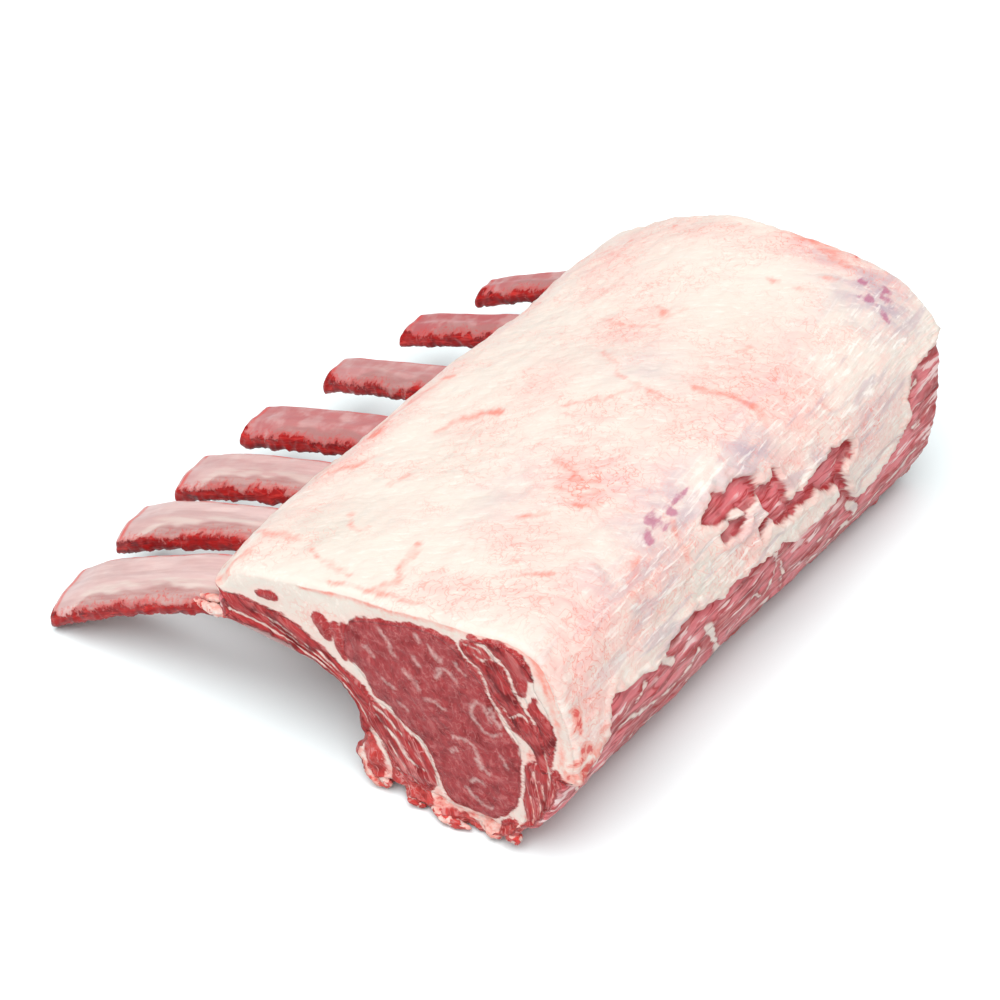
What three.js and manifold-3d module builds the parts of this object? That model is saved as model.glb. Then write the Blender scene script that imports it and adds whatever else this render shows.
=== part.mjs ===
// A raw rack of lamb, seven ribs, frenched: the loin eye and its side muscles under a fat cap, the
// rib bones running from the chine through the rib meat to bare, scraped ends.
// Millimetres, +Z up. The rack lies on its chine edge with the fat cap up. Its length runs along +Y,
// from the shoulder-end cut to the loin-end cut, and the rib ends point to -X.

import * as THREE from 'three';
import { mergeVertices } from 'three/addons/utils/BufferGeometryUtils.js';
import Module from 'manifold-3d';

const wasm = await Module();
wasm.setup();

// ---- Driving dimensions ----
const RACK_LENGTH = 170;          // shoulder-end cut to loin-end cut
const STATIONS = 8;               // lengthwise steps of a lofted piece
const STEPS_PER_POINT = 2;        // ring points between two outline points
const GAP = 0.3;                  // clearance that neighbouring pieces keep
const OVERRUN = 4;                // how far a cutting tool runs past both cut ends
const FLAP_BULGE = 4.6;           // how far the rib-side edge bows out past a straight line
const FLAP_BULGE_X = [-52, -78];  // the bow grows from none at the first X to all at the second
const CAP_SWELL = 0.8;            // height of the slow waves along the fat cap
const SWELL_WAVES = 2.5;          // how many of them the rack's length holds
const SWELL_Z = [25, 55];         // the swell grows from none at the first height to all at the second
const MERGE_DISTANCE = 1e-4;      // points closer than this are one corner

// Ribs, from the shoulder end. Each one leaves the flap at its exit and runs bare to its tip.
const RIB_EXIT_Y = [8.6, 30.2, 51.5, 74.6, 102.8, 134, 162.8];
const RIB_TIP_Y = [8, 31, 54.2, 79.3, 110.6, 140.1, 168];
const RIB_TIP_X = [-136.4, -135, -134.4, -133.1, -129.7, -124.8, -118.5];
const RIB_TIP_Z = [1.4, 8, 10, 12, 12, 12, 12];   // of the bone's lower face
const RIB_EXIT_WIDTH = [15.4, 11.6, 12, 11.8, 9.6, 9, 9];
const RIB_TIP_WIDTH = [15.8, 13.4, 13.6, 12.2, 10, 10, 8];
const RIB_TIP_THICKNESS = [7.4, 7.2, 6.8, 6.4, 5.8, 5.4, 5];
const RIB_EXIT_THICKNESS = [6.1, 5.9, 5.9, 6.4, 6, 5.9, 5.5];
const RIB_ROLL = [8, 4, 4, 4, 4, 4, 4];   // degrees that the loin-end edge is raised
const RIB_LEAN_INSIDE = 0.7;      // share of the bare part's lean that the hidden part keeps
const RIB_SIDES = 8;
const RIB_STEPS = 10;
const RIB_FLATNESS = 3.4;         // superellipse power of the bone's section
const RIB_NECK_TAPER = 0.62;      // the chine end's section against the exit's
const NECK_SHARE = 0.4;           // share of the bone's length that this taper takes

// The bone's lower face in the XZ plane, from the chine end to the exit. It stands a little proud
// of the meat on the rack's underside.
const RIB_INNER_PATH = [[-43.2, 17.6], [-45.2, 22.2], [-51.6, 25.4], [-65, 28.6], [-80, 29.8]];
const RIB_BARE_BOW = [2, 2, 1.6, 0.9, 0.7, 0.7, 0.7];   // how far the bare part arches over its chord
const RIB_BOW_AT = [0.35, 0.7];   // shares of the bare part where its curve has points of its own
const RIB_UPRIGHT_FROM = 0.8;     // from this share of its length on, the section turns upright

// ---- Section outlines, as [x, z] points that run clockwise from the flap's lower edge ----
const BODY_FRONT = [
  [-79, 31], [-80.5, 36.5], [-75, 46.5], [-60, 51.5], [-42, 55], [-24, 58], [-8, 60.5], [1, 61],
  [8.5, 55.5], [12.5, 45], [15.2, 33], [12.6, 22], [6.6, 9.4], [-7, 0], [-38, 0], [-43, 6], [-42, 14],
  [-44, 22], [-51, 27], [-64, 30.2],
];
const BODY_BACK = [
  [-80, 31], [-81.5, 36.5], [-75.2, 47], [-65.2, 54.6], [-54, 60.4], [-37, 65.2], [-20, 65.2], [-4, 64],
  [9, 60.4], [17.6, 52], [21.4, 40.5], [22.6, 27], [20.4, 12], [12, 0], [-32, 0], [-39, 6], [-39.5, 14.5],
  [-42.5, 22.5], [-50.5, 28], [-66, 31],
];
const BASE_POINTS = [13, 14];     // the two outline points that bound the flat base

// Inner pieces: the front outline, and how the loin-end outline differs from it.
const INNER_PIECES = {
  loin_eye: {
    front: [
      [-43, 38], [-41.5, 45.5], [-35, 50], [-26, 53], [-18, 53.2], [-12.6, 49.4], [-7.6, 43.5],
      [-2.4, 36], [0.6, 29], [0.4, 19], [-2, 11.5], [-7, 7.6], [-13.6, 7.6], [-18.2, 11],
      [-20.6, 18.4], [-28.2, 24.8], [-35.4, 29.8], [-40, 33.2],
    ],
    scale: 1.07, shift: [3.5, 4],
  },
  cap_muscle_inner: {
    front: [
      [-12.4, 53], [-10.4, 55.4], [-6, 53.2], [-1.4, 47.6], [3.4, 40], [7, 34.6], [7.8, 31.6],
      [5, 30], [1.2, 36], [-3.8, 43], [-8.6, 50],
    ],
    scale: 1, shift: [6.4, 2.2],
  },
  cap_muscle_outer: {
    front: [
      [-8.8, 57.6], [-5, 58.9], [0.2, 58.6], [5.6, 54.4], [7.4, 50], [9, 44.4], [10.8, 38.6],
      [12, 33.6], [9.8, 33.4], [7, 40.2], [3, 46.8], [-1.2, 52.2], [-4.8, 55.8],
    ],
    scale: 1, shift: [5.6, 1.4],
  },
  chine_side_muscle: {
    front: [
      [-35.6, 25.2], [-29.8, 22], [-24.6, 18.4], [-22.4, 15.6], [-21.2, 11], [-23.4, 8.8],
      [-28, 8.6], [-31.4, 11], [-34, 15], [-36.6, 20],
    ],
    scale: 1, shift: [2.8, 0.6],
  },
  // The outlines from here on run past the body's skin, which trims them.
  rib_meat: {
    front: [
      [-92, 41], [-78, 40], [-66, 40.4], [-59, 39.6], [-52.4, 35.2], [-46, 30.4], [-40.6, 25.6],
      [-38.4, 21.4], [-40, 18.4], [-52, 17], [-66, 20], [-92, 22],
    ],
    scale: 1, shift: [1, 0.8],
  },
  spine_side_muscle: {
    front: [
      [4.4, 23.4], [9.6, 25.6], [22, 21], [24, 8], [18, -8], [6, -8], [2.6, 6], [2.4, 16],
    ],
    scale: 1, shift: [9, 0],
  },
  chine_trim: {
    front: [
      [-50, 16.4], [-39, 16.8], [-35.2, 11], [-31, 6.4], [-22, 5.8], [-12, 5.4], [-4, 6.2],
      [1.2, 6.4], [2.4, -8], [-50, -8],
    ],
    scale: 1, shift: [3.4, 0],
  },
};

const lerp = THREE.MathUtils.lerp;
const smoothstep = THREE.MathUtils.smoothstep;

// ---- Solids from rings of points ----

// Joins equally long rings of Vector3 into one closed solid, with a flat cap at each end.
function solidFromRings(rings) {
  const count = rings[0].length;
  const positions = [];
  const index = [];
  for (const ring of rings) {
    for (const p of ring) positions.push(p.x, p.y, p.z);
  }
  for (let r = 0; r + 1 < rings.length; r++) {
    for (let i = 0; i < count; i++) {
      const a = r * count + i;
      const b = r * count + ((i + 1) % count);
      index.push(a, b, a + count, b, b + count, a + count);
    }
  }
  const last = (rings.length - 1) * count;
  for (const triangle of triangulate(rings[0])) {
    const [a, b, c] = triangle;
    index.push(a, c, b);
  }
  for (const triangle of triangulate(rings.at(-1))) index.push(...triangle.map((i) => last + i));
  const solid = manifoldOf(positions, index);
  return solid.volume() > 0 ? solid : manifoldOf(positions, index.toReversed());
}

// The triangles of a ring's cap. With its corners in rising order, each one turns as the ring does.
function triangulate(ring) {
  const centre = ring.reduce((sum, p) => sum.add(p), new THREE.Vector3()).divideScalar(ring.length);
  const spokes = ring.map((p) => p.clone().sub(centre));
  const normal = new THREE.Vector3();
  spokes.forEach((p, i) => normal.add(p.clone().cross(spokes[(i + 1) % ring.length])));
  const u = spokes[0].clone().normalize();
  const v = new THREE.Vector3().crossVectors(normal.normalize(), u);
  const flat = spokes.map((p) => new THREE.Vector2(p.dot(u), p.dot(v)));
  return THREE.ShapeUtils.triangulateShape(flat, []).map((t) => t.toSorted((a, b) => a - b));
}

function manifoldOf(positions, index) {
  const raw = new THREE.BufferGeometry();
  raw.setAttribute('position', new THREE.Float32BufferAttribute(positions, 3));
  raw.setIndex(index);
  const merged = mergeVertices(raw, MERGE_DISTANCE);
  return new wasm.Manifold(new wasm.Mesh({
    numProp: 3,
    vertProperties: merged.attributes.position.array,
    triVerts: new Uint32Array(merged.index.array),
  }));
}

// ---- Lengthwise lofts ----

// A smooth closed ring of [x, z] points, moved outwards by grow.
function smoothRing(outline, grow = 0) {
  const points = outline.map(([x, z]) => new THREE.Vector3(x, 0, z));
  const curve = new THREE.CatmullRomCurve3(points, true, 'centripetal');
  const count = outline.length * STEPS_PER_POINT;
  const ring = [];
  for (let i = 0; i < count; i++) {
    const p = curve.getPoint(i / count);
    const t = curve.getTangent(i / count);
    ring.push([p.x - t.z * grow, p.z + t.x * grow]);
  }
  return ring;
}

// The rack isn't a straight prism: its rib-side edge bows out and its cap swells slowly.
function shaped(x, y, z) {
  const along = THREE.MathUtils.clamp(y / RACK_LENGTH, 0, 1);
  const flap = 1 - smoothstep(x, FLAP_BULGE_X[1], FLAP_BULGE_X[0]);
  const bow = FLAP_BULGE * Math.sin(Math.PI * Math.sqrt(along)) * flap;
  const high = smoothstep(z, SWELL_Z[0], SWELL_Z[1]);
  const swell = CAP_SWELL * Math.sin(2 * Math.PI * SWELL_WAVES * along) * high;
  return new THREE.Vector3(x - bow, y, z + swell);
}

function loft(frontRing, backRing, overrun = 0) {
  const rings = [];
  for (let s = 0; s <= STATIONS; s++) {
    const share = s / STATIONS;
    let y = share * RACK_LENGTH;
    if (s === 0) y -= overrun;
    if (s === STATIONS) y += overrun;
    rings.push(frontRing.map(([x, z], i) =>
      shaped(lerp(x, backRing[i][0], share), y, lerp(z, backRing[i][1], share))));
  }
  return solidFromRings(rings);
}

// The body's ring, with the stretch between the two base points laid flat on the ground.
function bodyRing(outline) {
  const [from, to] = BASE_POINTS.map((i) => i * STEPS_PER_POINT);
  return smoothRing(outline).map(([x, z], i) => [x, i >= from && i <= to ? 0 : Math.max(z, 0)]);
}

function backOutline({ front, scale, shift }) {
  const cx = front.reduce((sum, p) => sum + p[0], 0) / front.length;
  const cz = front.reduce((sum, p) => sum + p[1], 0) / front.length;
  return front.map(([x, z]) => [cx + (x - cx) * scale + shift[0], cz + (z - cz) * scale + shift[1]]);
}

function innerLoft(piece, grow = 0, overrun = 0) {
  return loft(smoothRing(piece.front, grow), smoothRing(backOutline(piece), grow), overrun);
}

// ---- Ribs ----

// The line of a bone's lower face: inside the body along RIB_INNER_PATH, then bare to its tip in a
// shallow arch.
function ribCurve(k) {
  const exitY = RIB_EXIT_Y[k];
  const [exitX, exitZ] = RIB_INNER_PATH.at(-1);
  const tip = new THREE.Vector3(RIB_TIP_X[k], RIB_TIP_Y[k], RIB_TIP_Z[k]);
  const lean = (tip.y - exitY) / (exitX - tip.x);
  const points = RIB_INNER_PATH.map(([x, z]) => {
    const y = exitY - (x - exitX) * lean * RIB_LEAN_INSIDE;
    return shaped(x, y, z);
  });
  const exit = points.at(-1);
  for (const share of RIB_BOW_AT) {
    const p = exit.clone().lerp(tip, share);
    p.z += RIB_BARE_BOW[k] * Math.sin(Math.PI * share);
    points.push(p);
  }
  points.push(tip);
  return new THREE.CatmullRomCurve3(points, false, 'centripetal');
}

// A bone's section as a superellipse of half-width 1: flat faces with rounded edges.
function ribSection() {
  const section = [];
  for (let i = 0; i < RIB_SIDES; i++) {
    const angle = (i / RIB_SIDES) * 2 * Math.PI;
    const c = Math.cos(angle);
    const w = Math.sin(angle);
    const radius = (Math.abs(c) ** RIB_FLATNESS + Math.abs(w) ** RIB_FLATNESS) ** (-1 / RIB_FLATNESS);
    section.push([c * radius, w * radius]);
  }
  return section;
}

function ribSolid(k, grow = 0) {
  const roll = THREE.MathUtils.degToRad(RIB_ROLL[k]);
  const sawnUp = new THREE.Vector3(0, -Math.sin(roll), Math.cos(roll));
  const curve = ribCurve(k);
  const rings = [];
  for (let s = 0; s <= RIB_STEPS; s++) {
    const u = s / RIB_STEPS;
    const centre = curve.getPointAt(u);
    const along = curve.getTangentAt(u);
    if (s === 0) centre.addScaledVector(along, -grow);
    if (s === RIB_STEPS) centre.addScaledVector(along, grow);
    const across = new THREE.Vector3(0, 1, 0).addScaledVector(along, -along.y).normalize();
    across.applyAxisAngle(along, -roll);
    const up = new THREE.Vector3().crossVectors(across, along).normalize();
    up.lerp(sawnUp, smoothstep(u, RIB_UPRIGHT_FROM, 1)).normalize();
    const neck = lerp(RIB_NECK_TAPER, 1, smoothstep(u, 0, NECK_SHARE));
    const outer = smoothstep(u, NECK_SHARE, 1);
    const halfWidth = neck * lerp(RIB_EXIT_WIDTH[k], RIB_TIP_WIDTH[k], outer) / 2;
    const halfThickness = neck * lerp(RIB_EXIT_THICKNESS[k], RIB_TIP_THICKNESS[k], outer) / 2;
    centre.addScaledVector(up, halfThickness);
    rings.push(ribSection().map(([c, w]) => centre.clone()
      .addScaledVector(across, c * (halfWidth + grow))
      .addScaledVector(up, w * (halfThickness + grow))));
  }
  return solidFromRings(rings);
}

// ---- Assembly ----

const body = loft(bodyRing(BODY_FRONT), bodyRing(BODY_BACK));
const solids = new Map();

// Each piece gives way to those before it, whose cutters are grown by the gap.
let claimed = RIB_EXIT_Y.map((_, k) => ribSolid(k, GAP)).reduce((sum, cutter) => sum.add(cutter));
for (const [name, piece] of Object.entries(INNER_PIECES)) {
  solids.set(name, innerLoft(piece, 0, OVERRUN).intersect(body).subtract(claimed));
  claimed = claimed.add(innerLoft(piece, GAP, OVERRUN));
}
solids.set('fat_cap', body.subtract(claimed));

RIB_EXIT_Y.forEach((_, k) => solids.set(`rib_${k + 1}`, ribSolid(k)));

// ---- Materials and the exported group ----

const LOOKS = {
  fat: { color: 0xf4e2d8, roughness: 0.45, metalness: 0 },
  eye: { color: 0x9c3c40, roughness: 0.4, metalness: 0 },
  side: { color: 0xa34446, roughness: 0.4, metalness: 0 },
  trim: { color: 0xd98d80, roughness: 0.5, metalness: 0 },
  bone: { color: 0xd9b3b4, roughness: 0.4, metalness: 0 },
};
const LOOK_OF = {
  fat_cap: 'fat', loin_eye: 'eye', cap_muscle_inner: 'side', cap_muscle_outer: 'side',
  chine_side_muscle: 'side', rib_meat: 'side', spine_side_muscle: 'side', chine_trim: 'trim',
};

function meshOf(name, solid) {
  const made = solid.getMesh();
  const geometry = new THREE.BufferGeometry();
  geometry.setAttribute('position', new THREE.BufferAttribute(made.vertProperties, 3));
  geometry.setIndex(new THREE.BufferAttribute(made.triVerts, 1));
  geometry.computeVertexNormals();
  const look = LOOKS[LOOK_OF[name] ?? 'bone'];
  const mesh = new THREE.Mesh(geometry, new THREE.MeshStandardMaterial(look));
  mesh.name = name;
  return mesh;
}

const rack = new THREE.Group();
for (const [name, solid] of solids) rack.add(meshOf(name, solid));

// The frame's origin is the middle of the rack's footprint.
const box = new THREE.Box3().setFromObject(rack);
const centre = box.getCenter(new THREE.Vector3());
rack.position.set(-centre.x, -centre.y, -box.min.z);

export default rack;
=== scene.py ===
"""A raw rack of lamb: fat cover, muscles at both cuts, rib meat, chine trim and frenched ribs."""

import math
from functools import lru_cache

import bpy
import numpy as np
from bpy.props import FloatProperty, FloatVectorProperty, PointerProperty
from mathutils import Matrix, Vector, geometry, kdtree, noise


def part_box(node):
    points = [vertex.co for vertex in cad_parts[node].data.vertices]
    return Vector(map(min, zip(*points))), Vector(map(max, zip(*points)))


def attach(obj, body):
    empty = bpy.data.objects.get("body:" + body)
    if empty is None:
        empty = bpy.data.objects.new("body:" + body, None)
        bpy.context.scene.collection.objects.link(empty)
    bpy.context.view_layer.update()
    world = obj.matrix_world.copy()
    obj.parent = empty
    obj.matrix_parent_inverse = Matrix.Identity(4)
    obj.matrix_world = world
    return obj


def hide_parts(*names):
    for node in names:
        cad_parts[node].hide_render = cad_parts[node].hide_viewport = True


bl_info = {
    "name": "Rack of Lamb",
    "version": (1, 0, 0),
    "blender": (4, 5, 0),
    "location": "3D Viewport > Sidebar > Lamb",
    "description": "Builds a raw frenched rack of lamb around its packed frame",
    "category": "Add Mesh",
}

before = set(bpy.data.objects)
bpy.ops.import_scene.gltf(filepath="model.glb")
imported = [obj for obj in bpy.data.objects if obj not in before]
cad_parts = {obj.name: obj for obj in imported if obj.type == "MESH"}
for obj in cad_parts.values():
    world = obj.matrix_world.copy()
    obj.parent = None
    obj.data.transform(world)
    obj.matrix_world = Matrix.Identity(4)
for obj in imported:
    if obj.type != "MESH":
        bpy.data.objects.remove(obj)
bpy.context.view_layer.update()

# ---- Where things are ----
# Drawing coordinates are millimetres: x towards the spine side, y from the shoulder-end cut to the
# loin-end cut, z up from the board.
MM = 0.001
FAT_LOW, FAT_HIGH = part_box("fat_cap")
BACK_SECTION_REACH = 0.0226
ORIGIN = np.array([FAT_HIGH.x - BACK_SECTION_REACH, FAT_LOW.y, 0.0])
LENGTH = (FAT_HIGH.y - FAT_LOW.y) / MM

# The body's outline at each cut, clockwise from the flap's lower edge.
BODY_FRONT = [
    (-79, 31), (-80.5, 36.5), (-75, 46.5), (-60, 51.5), (-42, 55), (-24, 58), (-8, 60.5), (1, 61),
    (8.5, 55.5), (12.5, 45), (15.2, 33), (12.6, 22), (6.6, 9.4), (-7, 0), (-38, 0), (-43, 6), (-42, 14),
    (-44, 22), (-51, 27), (-64, 30.2),
]
BODY_BACK = [
    (-80, 31), (-81.5, 36.5), (-75.2, 47), (-65.2, 54.6), (-54, 60.4), (-37, 65.2), (-20, 65.2), (-4, 64),
    (9, 60.4), (17.6, 52), (21.4, 40.5), (22.6, 27), (20.4, 12), (12, 0), (-32, 0), (-39, 6), (-39.5, 14.5),
    (-42.5, 22.5), (-50.5, 28), (-66, 31),
]
BASE_POINTS = (13, 14)
FLAP_BOW = 4.6
FLAP_BOW_X = (-52, -78)
SWELL = 0.8
SWELL_WAVES = 2.5
SWELL_Z = (25, 55)

# Muscles that the cuts show, as outlines at the shoulder-end cut.
MUSCLES = {
    "loin_eye": [
        (-43.4, 46), (-38.6, 49), (-31.9, 51.4), (-26, 53.4), (-21, 54), (-17.4, 53.4), (-14.4, 51.2),
        (-11.4, 48.6), (-9, 45.8), (-7.2, 42.6), (-4.7, 39.4), (-2.2, 36.6), (0, 34.2), (0.9, 31),
        (0.9, 24), (0.8, 17.4), (-0.2, 13), (-3.4, 9), (-6.4, 7), (-10.6, 7), (-15.4, 7.8), (-18, 9.6),
        (-19, 12.6), (-20.4, 16), (-22.4, 20.2), (-27, 23.2), (-31.4, 25.6), (-35.5, 28.4),
        (-38.4, 31.4), (-41.4, 34.4), (-44.2, 37), (-44, 41.6),
    ],
    "cap_muscle_inner": [
        (-12.2, 54.6), (-10.6, 57.4), (-8.4, 57.6), (-6.6, 56), (-4.7, 53.6), (-2.8, 50.8),
        (-0.8, 48), (1.2, 45), (3.2, 42), (4.8, 39.4), (6.6, 35.6), (7.6, 32), (8.4, 28.6),
        (7.2, 28), (5.4, 30.8), (3.6, 34), (1.8, 36.6), (-0.2, 38.8), (-2.6, 41.4), (-5, 44.6),
        (-7, 48), (-8.8, 50.6), (-11, 52),
    ],
    "cap_muscle_outer": [
        (-7.8, 59), (-3.2, 59.4), (0.6, 58.2), (3, 55.8), (4.4, 53.4), (4.6, 51), (5.6, 49.4),
        (7.6, 46.4), (9, 42.4), (9.8, 38.8), (9.8, 35.6), (8.6, 34.2), (7.4, 37), (6, 40.6),
        (4.4, 43.8), (2.8, 46.4), (1.2, 48.8), (-0.6, 51.4), (-2.2, 54), (-4.4, 56.6),
    ],
    "chine_side_muscle": [
        (-38, 26), (-35.4, 26.4), (-31.4, 24.4), (-27.4, 22.2), (-23.6, 19.4), (-21.8, 15.8),
        (-20.6, 12.2), (-20.2, 9.2), (-22.6, 8.4), (-26, 8.2), (-29.4, 9), (-32, 11), (-34.4, 14),
        (-36.6, 17.6), (-38.4, 21.6),
    ],
    "rib_meat": [
        (-92, 41), (-78.4, 39.8), (-71.6, 39.6), (-64, 39.6), (-58, 38.6), (-52, 35.8), (-46, 32.6),
        (-41, 29), (-38.2, 26.2), (-38.8, 21.4), (-37.6, 17.6), (-40, 16.4), (-52, 14), (-66, 18),
        (-92, 20),
    ],
    "spine_side_muscle": [
        (2.6, 26.6), (4.4, 29), (7.6, 30), (10, 26.6), (13, 27.4), (24, 25), (24, 8), (18, -8),
        (6, -8), (3.6, 6), (3.2, 12), (2.6, 19),
    ],
    "chine_trim": [
        (-52, 13.6), (-39.6, 16.2), (-36.4, 15.4), (-33, 9.6), (-28, 6.8), (-22, 6.4), (-16, 5.8),
        (-8, 5), (-3, 6), (1, 8.6), (3, 9), (3.6, 0), (2.4, -8), (-52, -8),
    ],
}
FAT = "fat_cap"

# Ribs, from the shoulder end.
RIB_EXIT_Y = (8.6, 30.2, 51.5, 74.6, 102.8, 134, 162.8)
RIB_TIP_Y = (8, 31, 54.2, 79.3, 110.6, 140.1, 168)
RIB_TIP_X = (-136.4, -135, -134.4, -133.1, -129.7, -124.8, -118.5)
RIB_TIP_Z = (1.4, 8, 10, 12, 12, 12, 12)
RIB_EXIT_WIDTH = (15.4, 11.6, 12, 11.8, 9.6, 9, 9)
RIB_TIP_WIDTH = (15.8, 13.4, 13.6, 12.2, 10, 10, 8)
RIB_TIP_THICKNESS = (7.4, 7.2, 6.8, 6.4, 5.8, 5.4, 5)
RIB_EXIT_THICKNESS = (6.1, 5.9, 5.9, 6.4, 6, 5.9, 5.5)
RIB_ROLL = (8, 4, 4, 4, 4, 4, 4)
RIB_LEAN_INSIDE = 0.7
RIB_INNER_PATH = [(-43.2, 17.6), (-45.2, 22.2), (-51.6, 25.4), (-65, 28.6), (-80, 29.8)]
RIB_BARE_BOW = (2, 2, 1.6, 0.9, 0.7, 0.7, 0.7)
RIB_UPRIGHT_FROM = 0.8
RIB_POWER = 5.0
RIB_FRONT_SLOPE = 0.55
RIB_RING = 44
RIB_TIP_ROUND = 0.8
RIB_NECK_TAPER = 0.62
RIB_NECK_SHARE = 0.4
RIB_FRINGE = (3.6, 1.6)
# Width in mm of the band along each rib's lower front side that is painted with shade.
RIB_SHADED_SIDE_BAND = 6.8
RIB_REDNESS = (0.1, 0.1, 0.25, 0.75, 0.6, 0.95, 0.75)
RIB_BLOOD = (0.7, 0.3, 0.3, 1.2, 1.0, 1.2, 0.4)
RIB_STRETCH = 8
RIB_BOW_AT = (0.35, 0.7)
# Rings are far apart inside the meat, up to this distance before the rib comes out.
RIB_FINE_FROM = 6
RIB_HIDDEN_STEP = 2.5
# The sawn end's rings, as shares of its size.
RIB_END_RINGS = (0.82, 0.6, 0.35, 0.12)
MARROW_DEPTH = 6.0

# The stage. The camera's place is in mm in drawing coordinates, and the rest is in metres.
CAMERA_PLACE = (184.965, -290.880, 367.829)
SENSOR_WIDTH = 36
KEY_PLACE = (0.3, -0.88, 2.2)
KEY_SIZE = 2.3
FLOOR_HALF = 6.0
# How many times light passes on from the floor and the flesh.
LIGHT_BOUNCES = 2

# ---- Settings a user can change ----

def length(text, default, note):
    return FloatProperty(name=text, description=note, default=default * MM, min=0.0, subtype="DISTANCE",
                         unit="LENGTH", precision=5)


def colour(text, default, note):
    return FloatVectorProperty(name=text, description=note, default=default, size=3, min=0.0, max=1.0,
                               subtype="COLOR")


class LambSizes(bpy.types.PropertyGroup):
    """Sizes of the rack's surface detail."""
    skin_step: length("Skin Step", 0.8, "Mesh spacing on the outer surfaces")
    cut_step: length("Cut Step", 0.55, "Mesh spacing on the two cut faces")
    rim_radius: length("Rim Radius", 1.3, "Rounding where the skin meets a cut")
    crown: length("Muscle Crown", 0.7, "How far a muscle stands proud at a cut")
    lean_recess: length("Lean Recess", 1.5, "How far bare lean lies below the fat around it")
    lumps: length("Lumps", 0.8, "Height of the slow lumps of the fat cover")
    wrinkles: length("Wrinkles", 0.3, "Height of the fat cover's fine wrinkles")
    rib_step: length("Rib Step", 0.7, "Mesh spacing on the ribs")
    fringe: length("Rib Fringe", 0.8, "Raggedness of the meat left on the ribs")


class LambColours(bpy.types.PropertyGroup):
    """Colours of fat, lean and bone."""
    cream: colour("Cream Fat", (0.73, 0.645, 0.575), "Plain fat")
    ivory: colour("Ivory Fat", (0.62, 0.565, 0.50), "Thick fat and tendon")
    pink: colour("Pink Fat", (0.77, 0.48, 0.435), "Fat with meat close beneath it")
    salmon: colour("Salmon Streaks", (0.74, 0.21, 0.16), "Streaks and torn edges in the fat")
    raw: colour("Raw Red", (0.60, 0.045, 0.038), "Torn red meat in the fat")
    lilac: colour("Silver Skin", (0.46, 0.36, 0.40), "Thin skin over dark lean")
    purple: colour("Purple Spots", (0.40, 0.09, 0.19), "Bruised spots under the silver skin")
    white: colour("Seams", (0.80, 0.66, 0.61), "White seams, flecks and dry bone")
    eye: colour("Loin Eye", (0.32, 0.036, 0.04), "The large round muscle")
    side: colour("Side Muscles", (0.36, 0.026, 0.028), "The smaller muscles")
    trim: colour("Chine Trim", (0.47, 0.045, 0.04), "Ragged meat along the chine")
    fringe: colour("Rib Fringe", (0.34, 0.008, 0.008), "Meat left along the ribs")
    blood: colour("Blood", (0.14, 0.006, 0.008), "Dark wet places")
    marbling: colour("Marbling", (0.56, 0.20, 0.19), "Pale threads in the lean")
    bone: colour("Bone", (0.63, 0.455, 0.435), "Scraped bone under a thin skin")
    # This colour gives the bone its lilac patches, and it is also painted as shade on each rib's lower front
    # side.
    bone_lilac_and_shade: colour("Bone Lilac And Shade", (0.38, 0.18, 0.172), "The darker, lilac part of the bone")
    flush: colour("Bone Flush", (0.44, 0.11, 0.115), "Blood under the skin of the redder ribs")
    veil: colour("Veil", (0.72, 0.19, 0.21), "Thin skin over the lean of the outer surface")
    strand: colour("Strands", (0.80, 0.56, 0.54), "Pale strands over the lean of the outer surface")


class LambStage(bpy.types.PropertyGroup):
    """Camera, light and floor."""
    azimuth: FloatProperty(name="Azimuth", description="Camera direction round the rack",
                           default=math.radians(33), subtype="ANGLE", unit="ROTATION")
    elevation: FloatProperty(name="Elevation", description="Camera height above the board",
                             default=math.radians(38), subtype="ANGLE", unit="ROTATION")
    lens: FloatProperty(name="Lens", description="Focal length", default=81.0, unit="CAMERA")
    floor: colour("Floor", (0.86, 0.945, 0.955), "Floor colour")
    sky: FloatProperty(name="Room Light", description="Strength of the even light", default=0.46, min=0)
    key: FloatProperty(name="Key Light", description="Power of the large overhead light", default=78,
                       min=0, unit="POWER")


# ---- Flat curves ----

CURVE_STEPS = 24
PATCH_STEPS = 6
NEARLY_ZERO = 1e-9


def between(p0, p1, p2, p3, per_segment):
    """Centripetal Catmull-Rom points from each p1 towards its p2."""
    def root(a, b):
        return np.sqrt(np.linalg.norm(b - a, axis=1))[:, None]

    d0, d1, d2 = root(p0, p1), root(p1, p2), root(p2, p3)
    m1 = ((p1 - p0) / d0 - (p2 - p0) / (d0 + d1) + (p2 - p1) / d1) * d1
    m2 = ((p2 - p1) / d1 - (p3 - p1) / (d1 + d2) + (p3 - p2) / d2) * d1
    t = (np.arange(per_segment) / per_segment)[None, :, None]
    a, b, m, n = p1[:, None], p2[:, None], m1[:, None], m2[:, None]
    curve = (a * (2 * t**3 - 3 * t**2 + 1) + m * (t**3 - 2 * t**2 + t)
             + b * (3 * t**2 - 2 * t**3) + n * (t**3 - t**2))
    return curve.reshape(-1, p1.shape[1])


def smooth_loop(points, per_segment=CURVE_STEPS):
    """A closed smooth curve through the points, finely sampled."""
    p1 = np.array(points, float)
    return between(np.roll(p1, 1, 0), p1, np.roll(p1, -1, 0), np.roll(p1, -2, 0), per_segment)


def smooth_line(points, per_segment=CURVE_STEPS):
    """An open smooth curve through the points, finely sampled."""
    p = np.array(points, float)
    p = np.vstack([2 * p[0] - p[1], p, 2 * p[-1] - p[-2]])
    return np.vstack([between(p[:-3], p[1:-2], p[2:-1], p[3:], per_segment), p[-2:-1]])


def arc_length(curve):
    steps = np.linalg.norm(np.roll(curve, -1, 0) - curve, axis=1)
    return np.concatenate([[0.0], np.cumsum(steps)])


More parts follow.
